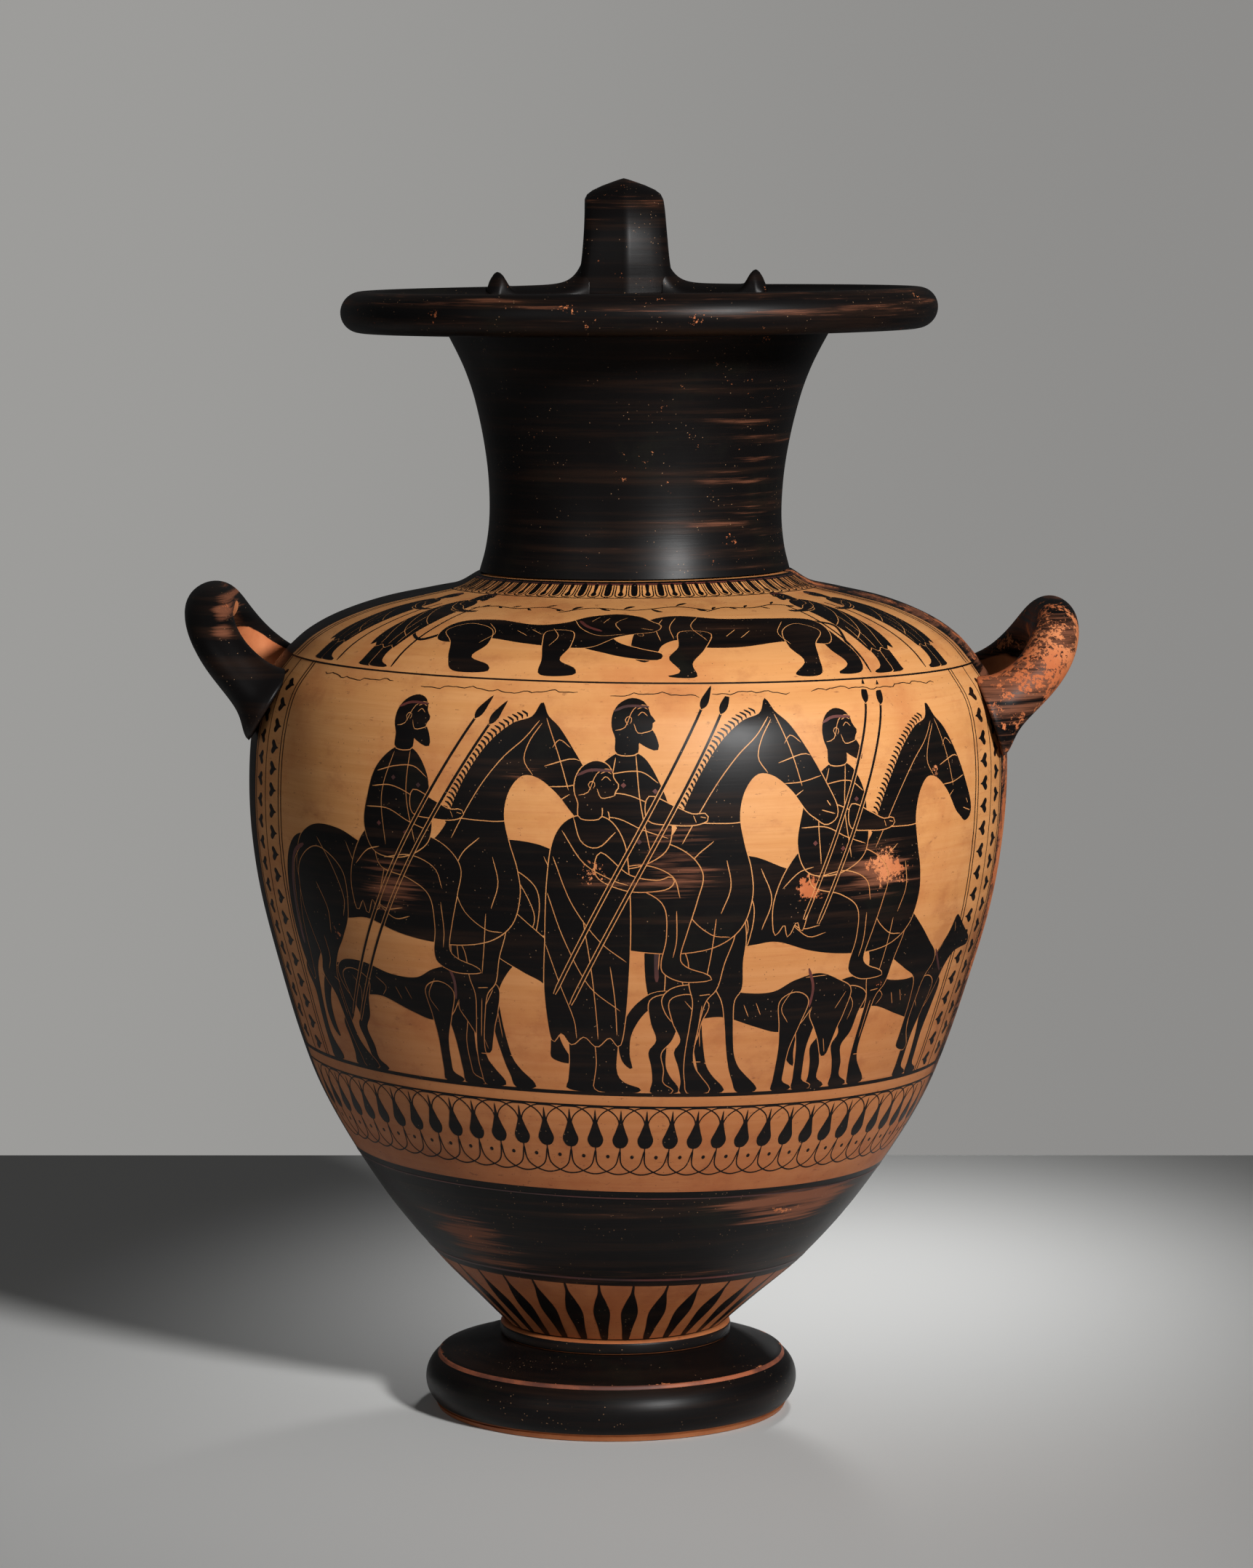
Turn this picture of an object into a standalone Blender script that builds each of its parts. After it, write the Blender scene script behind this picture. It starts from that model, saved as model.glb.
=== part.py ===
"""A three-handled clay water jar (a hydria), as the pieces that a potter throws, pulls and lutes together.

Metres, +Z up. The jar stands on z = 0, centred on its own bounding box, with its painted front towards -Y.
Every piece is built about an upright axis first. Then skew_point() sets the pot a little askew, as a hand-thrown
pot is, and keeps the gaps between the pieces. settle_on_origin() stands the finished jar on z = 0.
"""

import math

import bmesh
import bpy
from mathutils import Vector

# ---- driving dimensions ------------------------------------------------------------------------------------------
SEGMENTS = 40  # flats round each turned piece
GAP = 0.0003  # left between pieces that touch
ROOT_GAP = 0.0010  # left under a handle's root, which sits on a surface curved both ways

REST_Z = -0.0013
FOOT_RADIUS = 0.0731
FOOT_ROLL = 0.0112  # half the thickness of the foot's rolled edge
FOOT_TOP_Z = 0.0271
REST_OUTER, REST_INNER = 0.0705, 0.0600  # the ring that the jar stands on
FILLET_RADIUS = 0.0454
FILLET_TOP_Z = 0.0326
TENON_RADIUS, TENON_TOP_Z = 0.0355, 0.0350  # the boss on the foot that enters the body

WALL = 0.0050  # body and shoulder
LAP = 0.0040  # how far one wall's tongue runs behind the next wall
LAP_SHARE = 0.47  # the outer share of the wall that stops at the joint

NECK_WALL = 0.0060
NECK_BASE_Z, NECK_TOP_Z = 0.3288, 0.4205
COLLAR_RADIUS = 0.0535  # the hole in the shoulder that the neck's spigot enters
SPIGOT_DEPTH = 0.0045

MOUTH_RADIUS = 0.1154
MOUTH_TOP_Z = 0.4370
LIP_RADIUS = 0.0079  # half the thickness of the rolled lip

SIDE_GRIP_RADIUS = 0.0093  # half the thickness of a side handle's roll of clay
SIDE_HALF_SPAN = 0.0430  # from a side handle's middle to its root's middle
SIDE_TURN = math.radians(92)  # where the side handles sit, round from the front
BACK_TURN = math.radians(183.2)  # where the back handle sits

# How far the axis stands off towards +X, and how much a level circle tilts down towards +X, by height.
AXIS_DRIFT = [(0.0326, 0.0), (0.0550, 0.0004), (0.1400, 0.0025), (0.2250, 0.0043), (0.3290, 0.0075), (0.4370, 0.0094)]
CIRCLE_TILT = [(0.0330, 0.000), (0.0600, 0.0275), (0.2200, 0.0275), (0.2970, 0.0120), (0.3285, -0.009)]
FOOT_OFFSET = -0.0017  # the foot was set this far off the body's own axis

# ---- outlines, as (radius, height), from the bottom up ---------------------------------------------------------------
BODY_OUTLINE = [
    (0.0430, 0.0329), (0.0560, 0.0450), (0.0718, 0.0600), (0.0892, 0.0800), (0.1052, 0.1030), (0.1178, 0.1250),
    (0.1260, 0.1450), (0.1339, 0.1700), (0.1421, 0.2000), (0.1462, 0.2250), (0.1475, 0.2480), (0.1464, 0.2680),
    (0.1424, 0.2845), (0.1340, 0.2968),
]
SHOULDER_OUTLINE = [
    (0.1340, 0.2968), (0.1265, 0.3042), (0.1160, 0.3106), (0.1010, 0.3163), (0.0840, 0.3202), (0.0700, 0.3233),
    (0.0615, 0.3280),
]
NECK_OUTLINE = [
    (0.0602, NECK_BASE_Z), (0.0579, 0.3380), (0.0567, 0.3500), (0.0573, 0.3650), (0.0595, 0.3800), (0.0630, 0.3950),
    (0.0664, 0.4050), (0.0698, 0.4125), (0.0740, NECK_TOP_Z),
]
THROAT_OUTLINE = [(0.0708, 0.4268), (0.0775, 0.4298), (0.0880, 0.4318), (0.0980, 0.4335)]  # the mouth's upper side

# ---- small geometry ------------------------------------------------------------------------------------------------


def value_at(table, height):
    """The table's value at a height, straight from row to row and level beyond its ends."""
    for (z0, v0), (z1, v1) in zip(table, table[1:]):
        if height < z1:
            t = max(0.0, (height - z0) / (z1 - z0))
            return v0 + (v1 - v0) * t
    return table[-1][1]


def skew_point(point):
    """Moves a point sideways with the axis at its height, and down by its x times the tilt there."""
    return Vector((
        point.x + value_at(AXIS_DRIFT, point.z), point.y, point.z - point.x * value_at(CIRCLE_TILT, point.z)
    ))


def offset(points, distance):
    """The outline moved inwards, towards the axis, along its own normals."""
    moved = []
    for i, (r, z) in enumerate(points):
        r0, z0 = points[max(i - 1, 0)]
        r1, z1 = points[min(i + 1, len(points) - 1)]
        length = math.hypot(r1 - r0, z1 - z0)
        moved.append((r - distance * (z1 - z0) / length, z + distance * (r1 - r0) / length))
    return moved


def arc(centre, radius, start, end, steps):
    """Points on an arc in the outline's plane, with angles in degrees from +radius, counter-clockwise."""
    return [
        (centre[0] + radius * math.cos(a), centre[1] + radius * math.sin(a))
        for a in (math.radians(start + (end - start) * i / steps) for i in range(steps + 1))
    ]


def on_wall(depth, along):
    """A point in the wall at the joint of body and shoulder: depth inwards from its face, along it up the shoulder."""
    (r, z), (r1, z1) = SHOULDER_OUTLINE[:2]
    length = math.hypot(r1 - r, z1 - z)
    up = ((r1 - r) / length, (z1 - z) / length)
    return (r - depth * up[1] + along * up[0], z + depth * up[0] + along * up[1])


def between(points, x, key=0, value=1):
    """Straight interpolation along an outline: the value where the key is x."""
    for low, high in zip(points, points[1:]):
        if min(low[key], high[key]) <= x <= max(low[key], high[key]):
            t = (x - low[key]) / (high[key] - low[key])
            return low[value] + t * (high[value] - low[value])
    return points[0][value] if abs(x - points[0][key]) < abs(x - points[-1][key]) else points[-1][value]


# ---- building pieces -------------------------------------------------------------------------------------------------


def make_material(name, colour, roughness):
    material = bpy.data.materials.new(name)
    material.use_nodes = True
    shader = material.node_tree.nodes["Principled BSDF"]
    shader.inputs["Base Color"].default_value = (*colour, 1)
    shader.inputs["Roughness"].default_value = roughness
    shader.inputs["Metallic"].default_value = 0.0
    return material


def add_piece(name, mesh_maker, material, shift=0.0):
    """Turns a bmesh into a named object, set askew with the rest of the pot."""
    for vert in mesh_maker.verts:
        vert.co = skew_point(vert.co) + Vector((shift, 0, 0))
    bmesh.ops.remove_doubles(mesh_maker, verts=mesh_maker.verts, dist=1e-6)
    bmesh.ops.triangulate(mesh_maker, faces=mesh_maker.faces)
    bmesh.ops.recalc_face_normals(mesh_maker, faces=mesh_maker.faces)
    mesh = bpy.data.meshes.new(name)
    mesh_maker.to_mesh(mesh)
    mesh_maker.free()
    mesh.shade_smooth()
    mesh.set_sharp_from_angle(angle=math.radians(40))
    mesh.materials.append(material)
    piece = bpy.data.objects.new(name, mesh)
    bpy.context.scene.collection.objects.link(piece)
    return piece


def add_turned(name, section, material, closed=True, shift=0.0):
    """A piece made on the wheel: its section is spun about the axis. An open section starts and ends on the axis."""
    maker = bmesh.new()
    verts = [maker.verts.new((r, 0, z)) for r, z in section]
    edges = [maker.edges.new(pair) for pair in zip(verts, verts[1:])]
    if closed:
        edges.append(maker.edges.new((verts[-1], verts[0])))
    bmesh.ops.spin(
        maker, geom=verts + edges, cent=(0, 0, 0), axis=(0, 0, 1), angle=2 * math.pi, steps=SEGMENTS, use_merge=True
    )
    return add_piece(name, maker, material, shift)


def add_lofted(name, rings, material, end_rings=()):
    """A closed skin through rings of points, each end closed by smaller rings and a middle point.

    end_rings holds, for the first and the last ring, the function that gives a cap point from a point inside the
    ring, so that a root's cap can follow the surface under it.
    """
    maker = bmesh.new()
    loops = [[maker.verts.new(p) for p in ring] for ring in rings]
    for low, high in zip(loops, loops[1:]):
        for i in range(len(low)):
            j = (i + 1) % len(low)
            maker.faces.new((low[i], low[j], high[j], high[i]))
    for loop, settle in zip((loops[0], loops[-1]), end_rings):
        middle = sum((v.co for v in loop), Vector()) / len(loop)
        outer = loop
        inner = [maker.verts.new(settle(middle.lerp(v.co, 0.5))) for v in loop]
        for i in range(len(outer)):
            j = (i + 1) % len(outer)
            maker.faces.new((outer[i], outer[j], inner[j], inner[i]))
        centre = maker.verts.new(settle(middle))
        for i in range(len(inner)):
            maker.faces.new((inner[i], inner[(i + 1) % len(inner)], centre))
    return add_piece(name, maker, material)


# ---- the turned pieces -----------------------------------------------------------------------------------------------


def build_foot(material):
    """A disc foot with a rolled edge, hollowed underneath, with a tenon that enters the body."""
    edge = arc((FOOT_RADIUS - FOOT_ROLL, 0.0098), FOOT_ROLL, 60, -52, 7)
    section = [
        (0.0, TENON_TOP_Z), (TENON_RADIUS, TENON_TOP_Z), (TENON_RADIUS, FOOT_TOP_Z), (FILLET_RADIUS, FOOT_TOP_Z),
        (0.0560, 0.0240), (0.0655, 0.0206), *edge, (REST_OUTER - 0.0012, REST_Z), (REST_INNER, REST_Z),
        (0.0565, 0.0022), (0.0420, 0.0100), (0.0240, 0.0160), (0.0, 0.0180),
    ]
    return add_turned("foot", section, material, closed=False, shift=FOOT_OFFSET)


def build_fillet(material):
    """The ring of clay that covers the joint of foot and body."""
    low, high, inner = FOOT_TOP_Z + GAP, FILLET_TOP_Z, TENON_RADIUS + 0.0028
    section = [
        (inner, low), (FILLET_RADIUS - 0.0006, low), (FILLET_RADIUS, low + 0.0010), (FILLET_RADIUS, high - 0.0014),
        (FILLET_RADIUS - 0.0008, high), (inner, high),
    ]
    return add_turned("foot_fillet", section, material)


def build_body(material):
    """The thrown body, from its floor to the shoulder joint, where its inner half runs on as a tongue."""
    inner = offset(BODY_OUTLINE, WALL)[2:-1:2]
    socket = TENON_RADIUS + 0.0028
    section = [
        (0.0, TENON_TOP_Z + GAP), (socket, TENON_TOP_Z + GAP), (socket, BODY_OUTLINE[0][1]),
        *BODY_OUTLINE, on_wall(WALL * LAP_SHARE, 0), on_wall(WALL * LAP_SHARE, LAP), on_wall(WALL, LAP),
        on_wall(WALL, 0), *reversed(inner), (0.0380, 0.0440), (0.0, 0.0425),
    ]
    return add_turned("body", section, material, closed=False)


def build_shoulder(material):
    """The sloping shoulder, lapped over the body's tongue and open in the middle for the neck."""
    ledge_z = NECK_BASE_Z - GAP
    inner = offset(SHOULDER_OUTLINE, WALL)[2:-1]
    section = [
        on_wall(0, GAP), *SHOULDER_OUTLINE[1:-1], (SHOULDER_OUTLINE[-1][0], ledge_z), (COLLAR_RADIUS, ledge_z),
        (COLLAR_RADIUS, ledge_z - 0.0058), *reversed(inner), on_wall(WALL, LAP + GAP),
        on_wall(WALL * LAP_SHARE - GAP, LAP + GAP), on_wall(WALL * LAP_SHARE - GAP, GAP),
    ]
    return add_turned("shoulder", section, material)


def build_neck(material):
    """The neck, with a spigot below that enters the shoulder and a tongue above that enters the mouth."""
    inner = offset(NECK_OUTLINE, NECK_WALL)
    spigot = COLLAR_RADIUS - GAP
    section = [
        (spigot, NECK_BASE_Z - SPIGOT_DEPTH), (spigot, NECK_BASE_Z), *NECK_OUTLINE, (0.0708, NECK_TOP_Z),
        (0.0705, NECK_TOP_Z + 0.0030), (0.0676, NECK_TOP_Z + 0.0030), *reversed(inner[1:-1:2]),
        (0.0496, NECK_BASE_Z - SPIGOT_DEPTH),
    ]
    return add_turned("neck", section, material)


def build_mouth(material):
    """The broad mouth: a flat underside, a rolled lip and a dished top that runs down into the throat."""
    lip_centre = (MOUTH_RADIUS - LIP_RADIUS, MOUTH_TOP_Z - LIP_RADIUS)
    groove_z = NECK_TOP_Z + 0.0030 + GAP
    section = [
        (0.0708 + GAP, groove_z), (0.0708 + GAP, NECK_TOP_Z + GAP), (0.0880, NECK_TOP_Z + 0.0002 + GAP),
        *arc(lip_centre, LIP_RADIUS, -90, 105, 9), (0.1030, 0.4352), *reversed(THROAT_OUTLINE), (0.0676, groove_z),
    ]
    return add_turned("mouth", section, material)


# ---- the handles -----------------------------------------------------------------------------------------------------
POT_OUTLINE = BODY_OUTLINE + SHOULDER_OUTLINE[1:]
MOUTH_TOP = [*THROAT_OUTLINE, (0.1030, 0.4352), (0.1056, MOUTH_TOP_Z), (0.1100, MOUTH_TOP_Z)]


def outside_pot(point, gap):
    """Whether a point is clear of the body and shoulder by the gap, measured sideways."""
    return math.hypot(point.x, point.y) > between(POT_OUTLINE, point.z, key=1, value=0) + gap


def meet_pot(point, direction, gap=ROOT_GAP, reach=0.05):
    """Where a line from a point outside the pot first comes within the gap of its surface."""
    near, far = 0.0, reach
    for _ in range(40):
        middle = (near + far) / 2
        if outside_pot(point + direction * middle, gap):
            near = middle
        else:
            far = middle
    return point + direction * near


def ring_round(centre, across, upward, radius, tall=1.0, sides=12):
    """A round or oval section: radius along across, radius * tall along upward."""
    return [
        centre + across * radius * math.cos(a) + upward * radius * tall * math.sin(a)
        for a in (2 * math.pi * i / sides for i in range(sides))
    ]


def build_side_handle(name, side, profile, material):
    """A roll of clay bent into a loop that rises from the body. side is -1 or 1, for -X or +X.

    Seen along the wall, its middle line is a quadratic curve through profile: (distance, height) of the root, a pull
    point and the tip. Seen from its tip, it is a superellipse: along = span * cos^(2/n), outwards = sin^(2/n).
    """
    steps, power = 22, 2 / 2.5
    out = Vector((side * math.sin(SIDE_TURN), -math.cos(SIDE_TURN), 0))
    along = Vector((0, 0, 1)).cross(out)
    root, pull, tip = (out * r + Vector((0, 0, z)) for r, z in profile)
    line, tangents = [], []
    for i in range(steps + 1):
        a = math.pi * i / steps
        c, t = math.cos(a), math.sin(a) ** power
        swing = along * SIDE_HALF_SPAN * math.copysign(abs(c) ** power, c)
        line.append(root * (1 - t) ** 2 + pull * 2 * t * (1 - t) + tip * t * t + swing)
        tangents.append(((pull - root) * (1 - t) + (tip - pull) * t).normalized())
    rings = []
    for i, (centre, tangent) in enumerate(zip(line, tangents)):
        heading = (line[min(i + 1, steps)] - line[max(i - 1, 0)]).normalized()
        normal = along.cross(tangent).normalized()
        flare = 0.42 * max(0.0, 1 - min(i, steps - i) / 5) ** 2  # each root swells, mostly below
        centre = centre + normal * SIDE_GRIP_RADIUS * flare * 0.7
        across = heading.cross(normal).normalized()
        rings.append(ring_round(centre, across, normal, SIDE_GRIP_RADIUS * (1 + flare)))
    inward = -tangents[0]

    def settle(point):
        return meet_pot(point - inward * 0.015, inward)

    rings = [[settle(p) for p in rings[0]], *rings[2:-2], [settle(p) for p in rings[-1]]]
    return add_lofted(name, rings, material, end_rings=(settle, settle))


BACK_OUT = Vector((math.sin(BACK_TURN), -math.cos(BACK_TURN), 0))
BACK_ALONG = Vector((0, 0, 1)).cross(BACK_OUT)
# The strap's middle line as (distance from the axis, height, width, thickness).
STRAP = [
    (0.1015, 0.3170, 0.0400, 0.0150), (0.1075, 0.3270, 0.0350, 0.0135), (0.1140, 0.3420, 0.0320, 0.0125),
    (0.1190, 0.3600, 0.0305, 0.0120), (0.1222, 0.3800, 0.0300, 0.0118), (0.1238, 0.4000, 0.0300, 0.0118),
    (0.1242, 0.4200, 0.0302, 0.0118), (0.1240, 0.4400, 0.0305, 0.0118), (0.1222, 0.4560, 0.0308, 0.0118),
    (0.1172, 0.4672, 0.0312, 0.0118), (0.1100, 0.4712, 0.0318, 0.0118), (0.1028, 0.4672, 0.0326, 0.0120),
    (0.0985, 0.4580, 0.0338, 0.0122), (0.0975, 0.4480, 0.0356, 0.0124), (0.0980, 0.4400, 0.0380, 0.0126),
]
RIB_RISE = 0.0030  # how far the rib along the strap's outer face stands out
ARM_REACH = math.radians(33.5)  # how far round the mouth each arm runs from the strap's middle
ARM_RADIUS = 0.1010  # distance of the arms from the axis


def strap_section(centre, outward, width, thickness):
    """A strap's section: flat towards the pot, and a low roof with a rib on its outer side."""
    half, deep = width / 2, thickness / 2
    shape = [
        (0, deep + RIB_RISE), (0.30 * half, deep + 0.50 * RIB_RISE), (0.80 * half, 0.70 * deep), (half, 0.10 * deep),
        (0.93 * half, -0.60 * deep), (0.60 * half, -deep), (0, -deep),
    ]
    mirrored = [(-x, y) for x, y in reversed(shape[1:-1])]
    return [centre + BACK_ALONG * x + outward * y for x, y in shape + mirrored]


def on_mouth(point):
    """The point dropped onto the mouth's top."""
    return Vector((point.x, point.y, between(MOUTH_TOP, math.hypot(point.x, point.y)) + GAP))


def build_back_handle(material):
    """The pulled strap, from the shoulder up behind the mouth, over, and down onto the mouth's top."""
    centres = [BACK_OUT * r + Vector((0, 0, z)) for r, z, _, _ in STRAP]
    rings = []
    for i, (centre, (_, _, width, thickness)) in enumerate(zip(centres, STRAP)):
        heading = (centres[min(i + 1, len(STRAP) - 1)] - centres[max(i - 1, 0)]).normalized()
        rings.append(strap_section(centre, heading.cross(BACK_ALONG) * -1, width, thickness))
    down = (centres[0] - centres[1]).normalized()
    rings[0] = [meet_pot(p - down * 0.005, down) for p in rings[0]]
    rings[-1] = [on_mouth(p) for p in rings[-1]]
    return add_lofted(
        "back_handle", rings, material, end_rings=(lambda p: meet_pot(p - down * 0.005, down), on_mouth)
    )


def arm_height(t):
    """Height of an arm above the mouth's top, from 0 at the strap to 1 at its far end, where a spur stands up."""
    fillet = 0.0100 * math.exp(-t / 0.075)
    spur = 0.0058 * math.exp(-(((t - 0.885) / 0.085) ** 2))
    return 0.0022 + fillet + spur


def build_arm(name, side, material):
    """One of the two arms that spread from the strap's upper root along the mouth, each ending in a spur."""
    steps, half_width = 14, 0.0052
    start = math.asin((0.5 * 0.0380 + GAP + 0.0016) / ARM_RADIUS)
    rings = []
    for i in range(steps + 1):
        t = i / steps
        a = BACK_TURN + side * (start + (ARM_REACH - start) * t)
        out = Vector((math.sin(a), -math.cos(a), 0))
        wide = half_width * (1.25 - 0.45 * t) * (1 if i < steps else 0.72)
        high = arm_height(t)
        feet = [on_mouth(out * (ARM_RADIUS + x * wide)) for x in (-1, 0, 1)]
        ridge = [
            feet[1] + out * x * wide + Vector((0, 0, high * y))
            for x, y in ((0.92, 0.45), (0.5, 0.9), (0, 1.0), (-0.5, 0.9), (-0.92, 0.45))
        ]
        rings.append([feet[0], feet[1], feet[2], *ridge])
    return add_lofted(name, rings, material, end_rings=(lambda p: p, lambda p: p))


# ---- the jar ---------------------------------------------------------------------------------------------------------


def settle_on_origin(pieces):
    """Slides the jar until its bounding box is centred over the origin and stands on z = 0."""
    corners = [v.co for piece in pieces for v in piece.data.vertices]
    low, high = [Vector([pick(c[k] for c in corners) for k in range(3)]) for pick in (min, max)]
    move = Vector((-(low.x + high.x) / 2, -(low.y + high.y) / 2, -low.z))
    for piece in pieces:
        for vert in piece.data.vertices:
            vert.co += move


def main():
    for old in list(bpy.data.objects):
        bpy.data.objects.remove(old)
    gloss = make_material("black_gloss", (0.012, 0.010, 0.009), 0.28)
    clay = make_material("orange_clay", (0.62, 0.27, 0.10), 0.45)
    pieces = [
        build_foot(gloss), build_fillet(gloss), build_body(clay), build_shoulder(clay), build_neck(gloss),
        build_mouth(gloss),
        build_side_handle("side_handle_left", -1, [(0.1375, 0.2815), (0.1575, 0.2930), (0.1643, 0.3150)], gloss),
        build_side_handle("side_handle_right", 1, [(0.1375, 0.2815), (0.1570, 0.2895), (0.1634, 0.3080)], gloss),
        build_back_handle(gloss), build_arm("handle_arm_left", 1, gloss), build_arm("handle_arm_right", -1, gloss),
    ]
    settle_on_origin(pieces)


main()
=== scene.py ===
"""A black-figure water jar with three handles, painted, incised and worn, standing on a pale floor."""

import math

import bmesh
import bpy
import numpy as np
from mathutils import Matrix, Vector
from mathutils.geometry import delaunay_2d_cdt


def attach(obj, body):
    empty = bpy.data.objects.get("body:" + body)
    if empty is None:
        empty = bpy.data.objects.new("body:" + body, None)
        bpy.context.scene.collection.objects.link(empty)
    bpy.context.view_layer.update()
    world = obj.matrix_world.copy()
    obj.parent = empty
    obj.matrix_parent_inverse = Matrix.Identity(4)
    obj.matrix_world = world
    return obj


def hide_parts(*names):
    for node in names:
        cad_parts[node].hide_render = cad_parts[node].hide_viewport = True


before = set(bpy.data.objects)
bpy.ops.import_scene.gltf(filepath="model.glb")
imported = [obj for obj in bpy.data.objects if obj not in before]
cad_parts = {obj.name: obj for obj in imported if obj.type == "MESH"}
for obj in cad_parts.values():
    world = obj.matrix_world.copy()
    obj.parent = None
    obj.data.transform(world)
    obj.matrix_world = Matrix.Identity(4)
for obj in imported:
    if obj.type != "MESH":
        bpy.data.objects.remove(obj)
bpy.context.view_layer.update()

# ---- the jar's own measures, in metres ------------------------------------------------------------
SETTLE = np.array([-0.0066, 0.0, 0.0013])  # from the potter's axis to the jar's place on the floor
AXIS_DRIFT = [(0.0326, 0.0), (0.0550, 0.0004), (0.1400, 0.0025), (0.2250, 0.0043), (0.3290, 0.0075),
    (0.4370, 0.0094)]
CIRCLE_TILT = [(0.0330, 0.000), (0.0600, 0.0275), (0.2200, 0.0275), (0.2970, 0.0120), (0.3285, -0.009)]
FOOT_OFFSET = -0.0017
FOOT_RADIUS, FOOT_ROLL, REST_Z = 0.0731, 0.0112, -0.0013
FILLET_RADIUS, FILLET_LOW, FILLET_TOP = 0.0454, 0.0271, 0.0326
WALL, NECK_WALL = 0.0050, 0.0060
MOUTH_RADIUS, MOUTH_TOP, LIP_RADIUS = 0.1154, 0.4370, 0.0079
NECK_BASE, NECK_TOP = 0.3288, 0.4205
BODY_OUTLINE = [
    (0.0430, 0.0326), (0.0560, 0.0450), (0.0718, 0.0600), (0.0892, 0.0800), (0.1052, 0.1030),
        (0.1178, 0.1250),
    (0.1260, 0.1450), (0.1339, 0.1700), (0.1421, 0.2000), (0.1462, 0.2250), (0.1475, 0.2480),
        (0.1464, 0.2680),
    (0.1424, 0.2845), (0.1340, 0.2968),
]
SHOULDER_OUTLINE = [
    (0.1340, 0.2968), (0.1265, 0.3042), (0.1160, 0.3106), (0.1010, 0.3163), (0.0840, 0.3202),
        (0.0700, 0.3233),
    (0.0615, 0.3280),
]
NECK_OUTLINE = [
    (0.0602, NECK_BASE), (0.0579, 0.3380), (0.0567, 0.3500), (0.0573, 0.3650), (0.0595, 0.3800),
        (0.0630, 0.3950),
    (0.0664, 0.4050), (0.0698, 0.4125), (0.0740, NECK_TOP),
]
THROAT_OUTLINE = [(0.0682, NECK_TOP + 0.0020), (0.0740, 0.4285), (0.0880, 0.4318), (0.0980, 0.4335),
    (0.1030, 0.4352)]
TURNS = 360  # columns round a turned piece, so a column is one degree

# ---- arrays and lines -----------------------------------------------------------------------------


def smooth_line(points, step, closed=False):
    """Points every step along a curve through the given ones.

    The curve is a Catmull-Rom spline: between knots b and c, it is the cubic that meets both and is
    parallel to a-c at b and to b-d at c.
    """
    knots = np.asarray(points, float)
    if closed:
        knots = np.vstack([knots[-1:], knots, knots[:2]])
    else:
        knots = np.vstack([2 * knots[0] - knots[1], knots, 2 * knots[-1] - knots[-2]])
    a, b, c, d = knots[:-3, None], knots[1:-2, None], knots[2:-1, None], knots[3:, None]
    t = np.linspace(0, 1, 17)[None, :-1, None]
    line = 0.5 * (2 * b + (c - a) * t + (2 * a - 5 * b + 4 * c - d) * t**2 + (3 * b - a - 3 * c + d) * t**3)
    line = line.reshape(-1, knots.shape[1])
    line = np.vstack([line, line[:1] if closed else knots[-2:-1]])
    length = np.concatenate([[0], np.cumsum(np.linalg.norm(np.diff(line, axis=0), axis=1))])
    count = max(3, int(round(length[-1] / step)))
    at = np.linspace(0, length[-1], count + 1)
    even = np.stack([np.interp(at, length, line[:, k]) for k in range(line.shape[1])], 1)
    return even[:-1] if closed else even


def arc(centre, radius, start, end, steps):
    """Points on a circle's arc, with angles in degrees."""
    a = np.radians(np.linspace(start, end, steps + 1))
    return np.stack([centre[0] + radius * np.cos(a), centre[1] + radius * np.sin(a)], 1)


def inward(line, distance):
    """The line moved towards the axis along its own normals; the line runs upwards outside."""
    along = np.gradient(line, axis=0)
    along /= np.linalg.norm(along, axis=1, keepdims=True)
    return line + distance * np.stack([-along[:, 1], along[:, 0]], 1)


def skew(points):
    """Sets points askew as the jar stands: x grows by the axis's drift, and z drops by x times tilt."""
    x, y, z = points[..., 0], points[..., 1], points[..., 2]
    drift = np.interp(z, *np.transpose(AXIS_DRIFT))
    tilt = np.interp(z, *np.transpose(CIRCLE_TILT))
    return np.stack([x + drift, y, z - x * tilt], -1) + SETTLE


def round_axis(radius, turn, height):
    """(radius sin turn, -radius cos turn, height): turn 0 faces the front and grows towards +X."""
    return np.stack(np.broadcast_arrays(radius * np.sin(turn), -radius * np.cos(turn), height), -1)


def make_mesh(name, points, faces, materials, kinds=None, smooth=True):
    """A piece from arrays: points, faces (each a row of corners) and the material number of each face."""
    mesh = bpy.data.meshes.new(name)
    mesh.from_pydata(np.asarray(points).tolist(), [], np.asarray(faces).tolist() if not isinstance(faces,
        list) else faces)
    for material in materials:
        mesh.materials.append(material)
    if kinds is not None:
        mesh.polygons.foreach_set("material_index", np.asarray(kinds, np.int32))
    mesh.polygons.foreach_set("use_smooth", np.full(len(mesh.polygons), smooth))
    mesh.update()
    piece = bpy.data.objects.new(name, mesh)
    bpy.context.scene.collection.objects.link(piece)
    return piece


def mend(piece, sharp=None):
    """Merges doubled points at seams and poles, and marks sharp edges."""
    work = bmesh.new()
    work.from_mesh(piece.data)
    bmesh.ops.remove_doubles(work, verts=work.verts, dist=2e-6)
    bmesh.ops.dissolve_degenerate(work, edges=work.edges, dist=1e-7)
    bmesh.ops.recalc_face_normals(work, faces=work.faces)
    work.to_mesh(piece.data)
    work.free()
    if sharp:
        piece.data.set_sharp_from_angle(angle=math.radians(sharp))


def grid_faces(rows, columns, wrap_rows=False):
    """Quads over a grid whose columns close on themselves, and its rows too if wrap_rows."""
    r, c = np.meshgrid(np.arange(rows if wrap_rows else rows - 1), np.arange(columns), indexing="ij")
    r1, c1 = (r + 1) % rows, (c + 1) % columns
    return np.stack([r * columns + c, r * columns + c1, r1 * columns + c1, r1 * columns + c],
        -1).reshape(-1, 4)


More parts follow.
